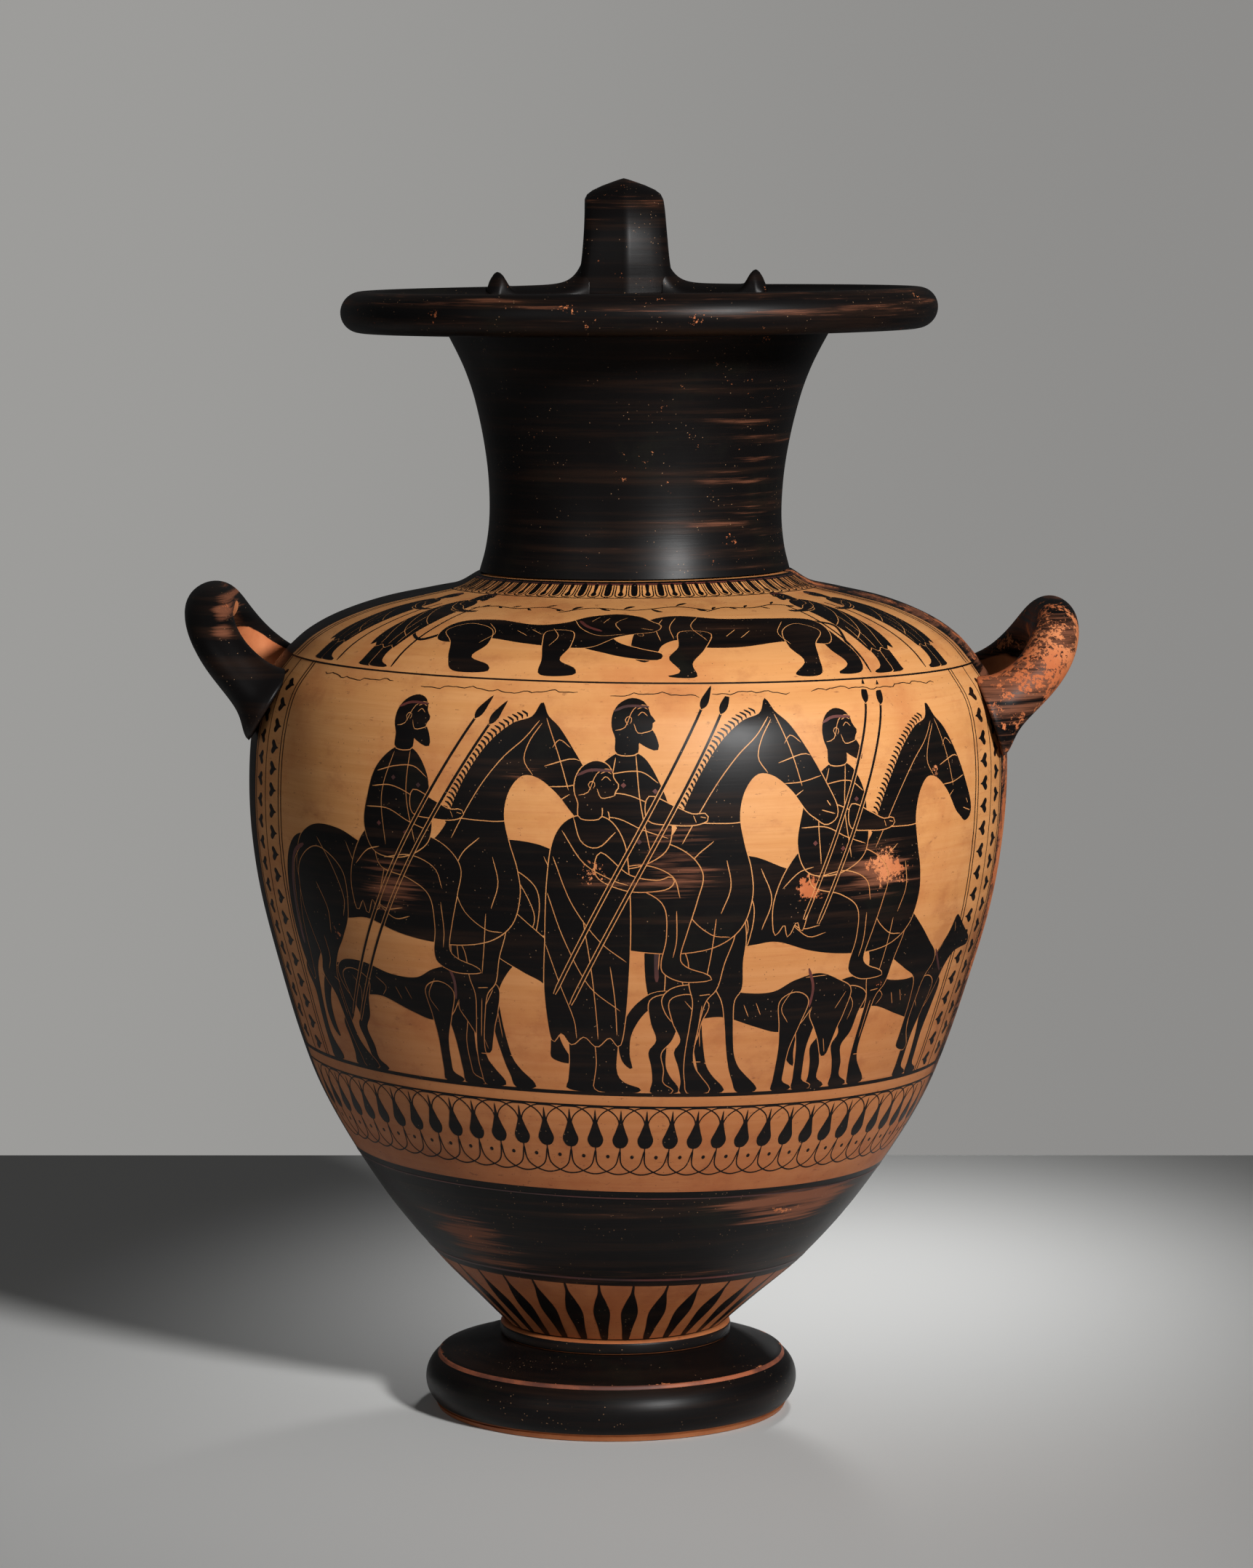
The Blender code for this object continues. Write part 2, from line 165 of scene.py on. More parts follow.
def turned(name, section, materials, kind=None, closed=True, offset=0.0, turns=TURNS, sharp=38):
    """Spins a section, rows of (radius, height), round the axis: point = round_axis(radius, turn, height).

    kind(turn, radius, height) gives the material number at the middle of each face.
    """
    section = np.asarray(section, float)
    turn = np.linspace(0, 2 * np.pi, turns, endpoint=False)
    points = skew(round_axis(section[:, :1], turn[None], section[:, 1:])) + [offset, 0, 0]
    faces = grid_faces(len(section), turns, closed)
    kinds = None
    if kind:
        rows = len(section) if closed else len(section) - 1
        middle = (section + np.roll(section, -1, 0))[:rows] / 2
        half = np.pi / turns
        kinds = kind(np.broadcast_to(turn + half, (rows, turns)), middle[:, :1], middle[:, 1:]).reshape(-1)
    piece = make_mesh(name, points.reshape(-1, 3), faces, materials, kinds)
    mend(piece, sharp)
    return piece


# ---- materials ------------------------------------------------------------------------------------


class Nodes:
    """A short way to write shader nodes."""

    def __init__(self, tree):
        self.tree = tree

    def add(self, kind, **values):
        node = self.tree.nodes.new(kind)
        for key, value in values.items():
            if hasattr(node, key):
                setattr(node, key, value)
        return node

    def link(self, source, target):
        self.tree.links.new(source, target)

    def feed(self, socket, value):
        if isinstance(value, bpy.types.NodeSocket):
            self.link(value, socket)
        else:
            socket.default_value = value

    def math(self, operation, a, b=0.0, c=None, clamp=False):
        node = self.add("ShaderNodeMath", operation=operation, use_clamp=clamp)
        self.feed(node.inputs[0], a)
        self.feed(node.inputs[1], b)
        if c is not None:
            self.feed(node.inputs[2], c)
        return node.outputs[0]

    def mix(self, factor, a, b):
        node = self.add("ShaderNodeMix", data_type="RGBA")
        self.feed(node.inputs[0], factor)
        self.feed(node.inputs[6], a)
        self.feed(node.inputs[7], b)
        return node.outputs[2]

    def noise(self, place, scale, detail=4.0, rough=0.55):
        node = self.add("ShaderNodeTexNoise")
        node.inputs["Scale"].default_value = scale
        node.inputs["Detail"].default_value = detail
        node.inputs["Roughness"].default_value = rough
        self.feed(node.inputs["Vector"], place)
        return node.outputs["Fac"]

    def stretch(self, place, scale, shift=(0, 0, 0)):
        node = self.add("ShaderNodeMapping")
        node.inputs["Scale"].default_value = scale
        node.inputs["Location"].default_value = shift
        self.link(place, node.inputs["Vector"])
        return node.outputs[0]

    def step(self, value, low, high):
        """0 below low, 1 above high, eased between."""
        node = self.add("ShaderNodeMapRange", interpolation_type="SMOOTHSTEP")
        self.feed(node.inputs["Value"], value)
        node.inputs["From Min"].default_value = low
        node.inputs["From Max"].default_value = high
        return node.outputs[0]

    def attribute(self, name):
        return self.add("ShaderNodeAttribute", attribute_name=name).outputs["Fac"]


def group(name, inputs, outputs):
    """An empty shader group with the named sockets."""
    tree = bpy.data.node_groups.new(name, "ShaderNodeTree")
    for socket, kind, value in inputs:
        made = tree.interface.new_socket(socket, in_out="INPUT", socket_type=kind)
        if value is not None:
            made.default_value = value
    for socket, kind in outputs:
        tree.interface.new_socket(socket, in_out="OUTPUT", socket_type=kind)
    work = Nodes(tree)
    return work, work.add("NodeGroupInput"), work.add("NodeGroupOutput")


def build_streaks():
    """Marks of the wheel and the brush: noise drawn out level round the jar, coarse and fine."""
    work, come, go = group(
        "wheel streaks", [("Place", "NodeSocketVector", None)],
        [("Broad", "NodeSocketFloat"), ("Fine", "NodeSocketFloat"), ("Blotch", "NodeSocketFloat")],
    )
    place = come.outputs["Place"]
    work.link(work.noise(work.stretch(place, (9, 9, 260)), 1.0, 6, 0.62), go.inputs["Broad"])
    work.link(work.noise(work.stretch(place, (30, 30, 900), (3, 1, 2)), 1.0, 4, 0.6), go.inputs["Fine"])
    work.link(work.noise(work.stretch(place, (26, 26, 26), (5, 2, 1)), 1.0, 6, 0.62), go.inputs["Blotch"])
    return work.tree


def build_chips():
    """Small losses where a coarse and a ragged noise add up high, and specks in a few Voronoi cells."""
    work, come, go = group(
        "chips and specks", [("Place", "NodeSocketVector", None), ("Amount", "NodeSocketFloat", 0.0)],
        [("Chip", "NodeSocketFloat"), ("Speck", "NodeSocketFloat")],
    )
    place = come.outputs["Place"]
    ragged = work.noise(work.stretch(place, (760, 760, 760)), 1.0, 5, 0.7)
    patches = work.noise(work.stretch(place, (95, 95, 120), (2, 7, 4)), 1.0, 6, 0.66)
    level = work.math("ADD", work.math("MULTIPLY", patches, 0.62), work.math("MULTIPLY", ragged, 0.38))
    level = work.math("ADD", level, work.math("MULTIPLY", come.outputs["Amount"], 0.42))
    work.link(work.step(level, 0.700, 0.728), go.inputs["Chip"])
    cells = work.add("ShaderNodeTexVoronoi")
    cells.inputs["Scale"].default_value = 1.0
    work.link(work.stretch(place, (520, 520, 520)), cells.inputs["Vector"])
    dots = work.math("SUBTRACT", 1.0, work.step(cells.outputs["Distance"], 0.07, 0.13))
    few = work.step(work.noise(work.stretch(place, (75, 75, 75), (9, 3, 6)), 1.0, 3, 0.5), 0.50, 0.57)
    work.link(work.math("MULTIPLY", dots, few), go.inputs["Speck"])
    return work.tree


STREAKS, CHIPS = build_streaks(), build_chips()
CLAY = (0.520, 0.238, 0.080, 1)
CLAY_PALE = (0.585, 0.290, 0.112, 1)
CLAY_DEEP = (0.43, 0.155, 0.050, 1)
BARE = (0.42, 0.115, 0.040, 1)  # clay where the slip has gone
BARE_PALE = (0.56, 0.200, 0.080, 1)
SLIP = (0.0034, 0.0028, 0.0028, 1)
SLIP_BROWN = (0.021, 0.0100, 0.0060, 1)
SLIP_GREEN = (0.0080, 0.0078, 0.0050, 1)


def start_material(name):
    material = bpy.data.materials.new(name)
    material.use_nodes = True
    work = Nodes(material.node_tree)
    place = work.add("ShaderNodeTexCoord").outputs["Object"]
    return material, work, material.node_tree.nodes["Principled BSDF"], place


def use(work, tree, place, **values):
    node = work.add("ShaderNodeGroup")
    node.node_tree = tree
    work.link(place, node.inputs["Place"])
    for key, value in values.items():
        work.feed(node.inputs[key], value)
    return node.outputs


def make_clay():
    """Burnished clay, darker and redder low down: level brush bands, pale bloom, darker patches and specks."""
    material, work, shader, place = start_material("painted_clay")
    streak = use(work, STREAKS, place)
    chip = use(work, CHIPS, place, Amount=-0.10)
    colour = work.mix(work.math("MULTIPLY", work.step(streak["Broad"], 0.34, 0.70), 0.8), CLAY, CLAY_PALE)
    colour = work.mix(work.math("MULTIPLY", work.step(streak["Blotch"], 0.44, 0.72), 0.70), colour,
        CLAY_DEEP)
    smoke = work.noise(work.stretch(place, (44, 44, 62), (8, 5, 3)), 1.0, 7, 0.68)
    colour = work.mix(work.math("MULTIPLY", work.step(smoke, 0.50, 0.68), 0.42), colour,
        (0.33, 0.115, 0.040, 1))
    scuff = work.noise(work.stretch(place, (210, 210, 620), (1, 6, 2)), 1.0, 5, 0.66)
    colour = work.mix(work.math("MULTIPLY", work.step(scuff, 0.62, 0.70), 0.55), colour,
        (0.20, 0.070, 0.028, 1))
    colour = work.mix(work.math("MULTIPLY", work.step(streak["Fine"], 0.56, 0.70), 0.28), colour, CLAY_DEEP)
    colour = work.mix(work.math("MULTIPLY", chip["Speck"], 0.75), colour, (0.05, 0.024, 0.014, 1))
    rubbed = work.attribute("stain")
    colour = work.mix(work.math("MULTIPLY", rubbed, work.step(streak["Blotch"], 0.30, 0.62)), colour,
        (0.135, 0.045, 0.020, 1))
    # Darker and redder towards the bottom: the colour is multiplied down below a height of 0.285, most at 0.095
    # and under.
    split = work.add("ShaderNodeSeparateXYZ")
    work.link(place, split.inputs[0])
    high = work.step(work.math("ADD", split.outputs[2], work.math("MULTIPLY", streak["Blotch"], 0.02)),
        0.095, 0.285)
    darker_low_down = work.add("ShaderNodeMix", data_type="RGBA", blend_type="MULTIPLY")
    darker_low_down.inputs[0].default_value = 1.0
    work.link(colour, darker_low_down.inputs[6])
    work.link(work.mix(high, (0.56, 0.40, 0.38, 1), (1.06, 1.02, 0.98, 1)), darker_low_down.inputs[7])
    work.link(darker_low_down.outputs[2], shader.inputs["Base Color"])
    shader.inputs["Specular IOR Level"].default_value = 0.25
    rough = work.math("ADD", 0.42, work.math("MULTIPLY", streak["Blotch"], 0.20))
    work.link(rough, shader.inputs["Roughness"])
    bump = work.add("ShaderNodeBump")
    bump.inputs["Strength"].default_value = 0.16
    bump.inputs["Distance"].default_value = 0.0006
    work.link(work.math("ADD", work.math("MULTIPLY", streak["Fine"], 0.5), streak["Broad"]),
        bump.inputs["Height"])
    work.link(bump.outputs[0], shader.inputs["Normal"])
    return material


def make_slip(name, base=0.0, relief=0.10):
    """Black slip over clay: brown where thin and where painted sheen is laid as brown streaks, chipped and rubbed
    to clay where wear is high.
    """
    material, work, shader, place = start_material(name)
    streak = use(work, STREAKS, place)
    wear = work.math("ADD", work.attribute("wear"), base)
    chip = use(work, CHIPS, place, Amount=wear)
    # Weight of thin, brown slip; on the neck's right and on the shoulder picture it is also painted sheen.
    thin_slip_and_sheen = work.attribute("thin_slip_and_sheen")
    brown = work.math("MULTIPLY", work.step(streak["Broad"], 0.44, 0.70), work.math("ADD", thin_slip_and_sheen, 0.42),
        clamp=True)
    colour = work.mix(brown, SLIP, SLIP_BROWN)
    colour = work.mix(work.math("MULTIPLY", work.step(streak["Blotch"], 0.55, 0.75), 0.55), colour,
        SLIP_GREEN)
    rub = work.math("ADD", work.math("MULTIPLY", streak["Fine"], 0.42),
        work.math("MULTIPLY", streak["Broad"], 0.58))
    rub = work.math("ADD", rub, work.math("MULTIPLY", thin_slip_and_sheen, 0.30))
    rub = work.math("ADD", rub, work.math("MULTIPLY", wear, 0.22))
    rubbed = work.step(rub, 0.70, 0.86)
    colour = work.mix(work.math("MULTIPLY", rubbed, 0.85), colour, (0.185, 0.066, 0.034, 1))
    bare = work.mix(work.step(streak["Blotch"], 0.40, 0.66), BARE, BARE_PALE)
    edge = work.math("ADD", work.attribute("bare"),
        work.math("MULTIPLY", work.math("SUBTRACT", streak["Blotch"], 0.5), 1.1))
    bared = work.math("MAXIMUM", chip["Chip"], work.step(edge, 0.42, 0.58))
    colour = work.mix(bared, colour, bare)
    colour = work.mix(work.math("MULTIPLY", chip["Speck"], 0.7), colour, (0.30, 0.17, 0.090, 1))
    work.link(colour, shader.inputs["Base Color"])
    rough = work.math("ADD", 0.30, work.math("MULTIPLY", streak["Blotch"], 0.22))
    shader.inputs["Specular IOR Level"].default_value = 0.13
    rough = work.math("ADD", rough, work.math("MULTIPLY", bared, 0.28))
    rough = work.math("ADD", rough, work.math("MULTIPLY", rubbed, 0.14))
    work.link(rough, shader.inputs["Roughness"])
    bump = work.add("ShaderNodeBump")
    bump.inputs["Strength"].default_value = relief
    bump.inputs["Distance"].default_value = 0.0006
    height = work.math("ADD", work.math("MULTIPLY", streak["Fine"], 0.45), streak["Broad"])
    work.link(work.math("SUBTRACT", height, work.math("MULTIPLY", chip["Chip"], 0.5)),
        bump.inputs["Height"])
    work.link(bump.outputs[0], shader.inputs["Normal"])
    return material


def make_red():
    """The thin purple-red that is laid over slip, patchy."""
    material, work, shader, place = start_material("added_red")
    streak = use(work, STREAKS, place)
    colour = work.mix(work.step(streak["Blotch"], 0.35, 0.65), (0.105, 0.022, 0.016, 1),
        (0.030, 0.010, 0.009, 1))
    work.link(colour, shader.inputs["Base Color"])
    work.link(work.math("ADD", 0.40, work.math("MULTIPLY", streak["Blotch"], 0.2)),
        shader.inputs["Roughness"])
    return material


CLAY_MATERIAL = make_clay()
SLIP_MATERIAL = make_slip("black_slip")
PAINT_MATERIAL = make_slip("figure_slip", base=-0.02, relief=0.05)
RED_MATERIAL = make_red()
RUBBED_MATERIAL = make_slip("worn_slip", base=0.10)


def weigh(piece, name, formula):
    """Stores a value at each point, formula(turn, x, y, z), with turn in degrees from the front."""
    mesh = piece.data
    at = np.empty(len(mesh.vertices) * 3)
    mesh.vertices.foreach_get("co", at)
    x, y, z = at.reshape(-1, 3).T
    turn = np.degrees(np.arctan2(x + 0.003, -y))
    values = np.clip(formula(turn, x, y, z), 0, 1).astype(np.float32)
    layer = mesh.attributes.new(name, "FLOAT", "POINT")
    layer.data.foreach_set("value", values)


def near(value, centre, width):
    """A soft bump: exp(-((value - centre) / width)^2)."""
    return np.exp(-(((value - centre) / width) ** 2))


def settle_piece(piece, slot, *nodes):
    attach(piece, "root")
    if nodes:
        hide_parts(*nodes)
    return piece


# ---- the body's surface, which the painting lies on -----------------------------------------------
BODY_LINE = smooth_line(BODY_OUTLINE, 0.0016)
SHOULDER_LINE = smooth_line(SHOULDER_OUTLINE, 0.0016)


class Wall:
    """A turned wall to paint on: s is the distance up its outline, turn the angle from the front."""

    def __init__(self, line):
        self.line = line
        self.s = np.concatenate([[0], np.cumsum(np.linalg.norm(np.diff(line, axis=0), axis=1))])
        along = np.gradient(line, axis=0)
        self.along = along / np.linalg.norm(along, axis=1, keepdims=True)

    def at_height(self, z):
        return float(np.interp(z, self.line[:, 1], self.s))

    def radius(self, s):
        return np.interp(s, self.s, self.line[:, 0])

    def place(self, turn, s, lift=0.0):
        """The point at a turn and distance, lifted off the wall along its normal (dz, -dr)."""
        r, z = (np.interp(s, self.s, self.line[:, k]) for k in (0, 1))
        dr, dz = (np.interp(s, self.s, self.along[:, k]) for k in (0, 1))
        return skew(round_axis(r + lift * dz, turn, z - lift * dr))


BODY_WALL, SHOULDER_WALL = Wall(BODY_LINE), Wall(SHOULDER_LINE)

# Heights of the painted zones, and half the angle that the painted front spans.
RAYS_LOW, RAYS_TOP = FILLET_TOP + 0.0006, 0.0602
BUDS_LOW, BUDS_TOP, GROUND = 0.1031, 0.1392, 0.1434
FRONT, PANEL = math.radians(76), math.radians(62.5)


# ---- turned pieces --------------------------------------------------------------------------------


def with_rows(line, heights):
    """The line with a row at each given height, so that a colour can stop there."""
    rows = [line] + [[(np.interp(z, line[:, 1], line[:, 0]), z)] for z in heights]
    merged = np.vstack(rows)
    merged = merged[np.argsort(merged[:, 1], kind="stable")]
    gap = np.diff(merged[:, 1], prepend=merged[0, 1] - 1)
    keep = (gap > 0.00025) | np.isin(merged[:, 1], heights)
    return merged[keep]


def build_body():
    outer = with_rows(BODY_LINE, [RAYS_LOW, RAYS_TOP, BUDS_LOW, 0.0603])
    inner = inward(BODY_LINE, WALL)[6::4]
    section = np.vstack([
        [(0.0, 0.0353)], [(0.0383, 0.0353)], [(0.0383, 0.0329)], outer, [(0.1290, 0.2945)], inner[::-1],
        [(0.0380, 0.0440), (0.0, 0.0425)],
    ])

    def kind(turn, radius, height):
        turn = (turn + np.pi) % (2 * np.pi) - np.pi
        outside = radius > np.interp(height, BODY_LINE[:, 1], BODY_LINE[:, 0]) - 0.0012
        front = (np.abs(turn) < FRONT) & (height > BUDS_LOW)
        rays = (height < RAYS_TOP) & (height > RAYS_LOW)
        painted = np.where(front | rays, 0, 1) + 0 * turn
        return np.where(outside, painted, 2).astype(int)

    piece = turned("body_shell", section, [CLAY_MATERIAL, SLIP_MATERIAL, INSIDE_MATERIAL], kind,
        closed=False)
    weigh(piece, "thin_slip_and_sheen", lambda t, x, y, z: 0.95 * near(t, 84, 12) * (z > 0.12)
        + 0.55 * near(t, -82, 7) * (z > 0.1) + 0.45 * near(z, 0.096, 0.005)
        + 1.0 * near(z, 0.080, 0.011) * near(t, -42, 16) + 1.0 * near(z, 0.090, 0.010) * near(t, 42, 18)
        + 0.6 * near(z, 0.066, 0.006))
    weigh(piece, "wear", lambda t, x, y, z: 0.74 * near(t, 83, 8) * near(z, 0.215, 0.065)
        + 0.34 * near(t, -42, 11) * near(z, 0.083, 0.006) + 0.30 * near(t, 40, 15) * near(z, 0.092, 0.005)
        + 0.08 * near(t, 180, 60))
    weigh(piece, "stain", lambda t, x, y, z: 0.8 * near(t, 76, 2.2) + 0.75 * near(t, 71, 7) * near(z, 0.185,
        0.04) + 0.35 * near(t, -76, 1.5) + 0.25 * near(z, RAYS_TOP, 0.004))
    return settle_piece(piece, "orange_clay", "body")


def build_shoulder():
    outer = SHOULDER_LINE
    section = np.vstack([
        outer, [(0.0535, 0.3284), (0.0535, 0.3228)], inward(SHOULDER_LINE, WALL)[::-3][1:],
    ])

    def kind(turn, radius, height):
        turn = (turn + np.pi) % (2 * np.pi) - np.pi
        outside = height > np.interp(-radius, -SHOULDER_LINE[:, 0], SHOULDER_LINE[:, 1]) - 0.0012
        painted = np.where(np.abs(turn) < FRONT, 0, 1)
        return np.where(outside, painted, 2).astype(int)

    piece = turned("shoulder_shell", section, [CLAY_MATERIAL, SLIP_MATERIAL, INSIDE_MATERIAL], kind)
    weigh(piece, "thin_slip_and_sheen", lambda t, x, y, z: 0.75 * near(t, 84, 14) + 0.3 * near(t, -86, 12))
    weigh(piece, "wear", lambda t, x, y, z: 0.42 * near(t, 86, 10) + 0.10 * near(t, 180, 60))
    weigh(piece, "stain", lambda t, x, y, z: 0.5 * near(t, 74, 3))
    return settle_piece(piece, "orange_clay", "shoulder")


def build_neck():
    line = smooth_line(NECK_OUTLINE, 0.0020)
    inner = inward(line, NECK_WALL)[::-2]
    section = np.vstack([[(0.0532, 0.3243), (0.0532, NECK_BASE)], line, [(0.0700, NECK_TOP)], inner,
        [(0.0496, 0.3243)]])

    def kind(turn, radius, height):
        return (radius < np.interp(height, line[:, 1], line[:, 0]) - 0.004) * 1 + 0 * turn.astype(int)

    piece = turned("neck_tube", section, [SLIP_MATERIAL, INSIDE_MATERIAL], kind)
    # Thin brown slip all round the neck, more on its right where the key lamp falls; that extra brown is also
    # painted sheen.
    weigh(piece, "thin_slip_and_sheen", lambda t, x, y, z: 0.18 + 0.33 * near(t, 48, 30) * near(z, 0.375, 0.045))
    weigh(piece, "wear", lambda t, x, y, z: 0.12 + 0.10 * near(t, 35, 30))
    return settle_piece(piece, "black_gloss", "neck")


def build_mouth():
    lip = arc((MOUTH_RADIUS - LIP_RADIUS, MOUTH_TOP - LIP_RADIUS), LIP_RADIUS, -90, 108, 26)
    under = smooth_line([(0.0738, NECK_TOP + 0.0004), (0.0800, NECK_TOP + 0.0006),
        (0.1045, NECK_TOP + 0.0006)], 0.004)
    top = smooth_line([(0.1046, 0.4362), (0.1015, 0.4346), (0.0960, 0.4332), (0.0880, 0.4318),
        (0.0775, 0.4296), (0.0712, 0.4258), (0.0683, NECK_TOP + 0.0004)], 0.0015)
    section = np.vstack([under, lip[1:], top])
    piece = turned("mouth_disc", section, [SLIP_MATERIAL])
    weigh(piece, "thin_slip_and_sheen", lambda t, x, y, z: 0.45 * near(z, 0.433, 0.008))
    weigh(piece, "wear", lambda t, x, y, z: 0.07 + 0.16 * near(np.hypot(x, y), MOUTH_RADIUS, 0.006) * (0.6
        + 0.4 * near(t, -25, 40)))
    return settle_piece(piece, "black_gloss", "mouth")


def build_foot():
    roll = arc((FOOT_RADIUS - FOOT_ROLL, 0.0098), FOOT_ROLL, 58, -54, 30)
    score = [(0.0679, 0.0199), (0.06815, 0.0193)]
    section = np.vstack([
        [(0.0, 0.0350), (0.0352, 0.0350), (0.0352, FILLET_LOW), (FILLET_RADIUS + 0.0008, FILLET_LOW)],
        smooth_line([(0.0475, 0.0267), (0.0560, 0.0240), (0.0640, 0.0213), (0.0674, 0.0203)], 0.002), score,
            roll[1:],
        smooth_line([(0.0693, 0.0006), (0.0686, -0.0008), (0.0676, REST_Z), (0.0600, REST_Z),
            (0.0565, 0.0022), (0.0420, 0.0100), (0.0240, 0.0160), (0.0, 0.0180)], 0.0018),
    ])

    def kind(turn, radius, height):
        stripe = (height < 0.0018) & (radius > 0.0676)
        under = (radius < 0.0676) & (height < 0.0185)
        line = (height < 0.0202) & (height > 0.0190) & (radius > 0.0672) & (radius < 0.0684)
        return np.where(under | stripe | line, np.where(line, 2, 1), 0).astype(int) + 0 * turn.astype(int)

    piece = turned("disc_foot", section, [SLIP_MATERIAL, CLAY_MATERIAL, RED_LINE_MATERIAL], kind,
        closed=False, offset=FOOT_OFFSET, sharp=50)
    weigh(piece, "thin_slip_and_sheen", lambda t, x, y, z: 0.25 * near(t, 0, 30) * near(z, 0.010, 0.008))
    weigh(piece, "wear", lambda t, x, y,
        z: 0.40 * near(z, 0.0212, 0.0009) * (np.hypot(x + 0.0083, y) > 0.064)
        + 0.10 * near(t, 5, 30) * near(z, 0.010, 0.006))
    weigh(piece, "stain", lambda t, x, y, z: 0.35 * near(z, 0.0028, 0.0015))
    return settle_piece(piece, "black_gloss", "foot")


def build_fillet():
    low, high, r = FILLET_LOW + 0.0002, FILLET_TOP, FILLET_RADIUS
    section = [
        (0.0383, low), (r - 0.0006, low), (r - 0.0001, low + 0.0004), (r, low + 0.0010), (r, high - 0.0016),
        (r - 0.0002, high - 0.0009), (r - 0.0010, high - 0.0002), (r - 0.0018, high), (0.0383, high),
    ]

    def kind(turn, radius, height):
        return ((height < low + 0.0006) | (height > high - 0.0007)).astype(int) + 0 * turn.astype(int)

    piece = turned("foot_fillet_ring", section, [SLIP_MATERIAL, CLAY_MATERIAL], kind, sharp=60)
    return settle_piece(piece, "black_gloss", "foot_fillet")


# ---- handles --------------------------------------------------------------------------------------
SIDE_TURN, SIDE_SPAN, SIDE_GRIP = math.radians(92), 0.0430, 0.0093
UP = np.array([0.0, 0.0, 1.0])


def unit(vectors):
    return vectors / np.linalg.norm(vectors, axis=-1, keepdims=True)


def swept(name, rings, materials, kinds=None):
    """A closed skin through a stack of rings, with a middle point in each end."""
    rings = np.asarray(rings)
    count, around = rings.shape[:2]
    points = np.vstack([skew(rings).reshape(-1, 3), skew(rings[[0, -1]].mean(1))])
    faces = grid_faces(count, around).tolist()
    for base, tip in ((0, count * around), ((count - 1) * around, count * around + 1)):
        faces += [[base + i, base + (i + 1) % around, tip] for i in range(around)]
    if kinds is not None:
        kinds = np.concatenate([np.asarray(kinds).reshape(-1), np.zeros(2 * around, int)])
    piece = make_mesh(name, points, faces, materials, kinds)
    mend(piece)
    return piece


def build_side_handle(name, side, profile, node):
    """A roll bent into a loop, rooted in the wall at both ends.

    The swing along the wall is span cos^(2/n), and outwards t = sin^(2/n) runs up a quadratic. Towards
    the roots the roll's radius grows by a rounded flare, and it ends inside the wall.
    """
    steps, around, power = 150, 48, 2 / 2.5
    out = round_axis(1.0, side * SIDE_TURN, 0.0)
    along = np.cross(UP, out)
    root, pull, tip = (out * r + UP * z for r, z in profile)
    root = root - unit(pull - root) * 0.0035
    a = np.pi * (0.5 - 0.5 * np.cos(np.pi * np.linspace(0, 1, steps + 1)) * 1.0)
    a = a * 0.55 + np.pi * np.linspace(0, 1, steps + 1) * 0.45
    c, t = np.cos(a)[:, None], (np.abs(np.sin(a)) ** power)[:, None]
    swing = along * SIDE_SPAN * np.sign(c) * np.abs(c) ** power
    line = root * (1 - t) ** 2 + pull * 2 * t * (1 - t) + tip * t**2 + swing
    tangent = unit((pull - root) * (1 - t) + (tip - pull) * t)
    heading = unit(np.gradient(line, axis=0))
    normal = unit(np.cross(along, tangent))
    across = unit(np.cross(heading, normal))
    from_root = np.minimum(np.linalg.norm(line - line[0], axis=1), np.linalg.norm(line - line[-1], axis=1))
    flare = 0.42 * np.exp(-((from_root / 0.0105) ** 1.6)) + 0.28 * np.exp(-((from_root / 0.0052) ** 2.0))
    centre = line + normal * (SIDE_GRIP * flare * 0.55)[:, None]
    size = (SIDE_GRIP * (1 + flare))[:, None, None]
    turn = np.linspace(0, 2 * np.pi, around, endpoint=False)[None, :, None]
    rings = centre[:, None] + size * (across[:, None] * np.cos(turn) + normal[:, None] * np.sin(turn))
    piece = swept(name, rings, [RUBBED_MATERIAL if side > 0 else SLIP_MATERIAL, CLAY_MATERIAL])
    middle = skew((root * 0.35 + tip * 0.65)[None])[0]
    hole = unit(np.cross(along, unit(tip - root)))

    def facing_hole(t_, x, y, z):
        """1 where the roll's surface faces the loop's opening."""
        normals = np.empty(len(piece.data.vertices) * 3)
        piece.data.vertices.foreach_get("normal", normals)
        to_hole = middle - np.stack([x, y, z], 1)
        to_hole -= hole * (to_hole @ hole)[:, None]
        return (np.sum(normals.reshape(-1, 3) * unit(to_hole), 1) - 0.52) * 6.0

    weigh(piece, "bare", lambda t_, x, y, z: facing_hole(t_, x, y, z) * (1.0 if side < 0 else 0.45))
    if side > 0:
        weigh(piece, "wear", lambda t_, x, y, z: 0.27
            + 0.20 * near(z, 0.297, 0.013) * (y < 0.01) - 0.24 * near(z, 0.330, 0.009))
        weigh(piece, "thin_slip_and_sheen", lambda t_, x, y, z: 0.55 + 0 * x)
    else:
        weigh(piece, "wear", lambda t_, x, y, z: 0.34 * near(x, -0.156, 0.006) * near(z, 0.318, 0.010)
            + 0.03)
        weigh(piece, "thin_slip_and_sheen", lambda t_, x, y, z: 0.8 * near(x, -0.157, 0.006) * near(z, 0.314, 0.014))
    return settle_piece(piece, "black_gloss", node)


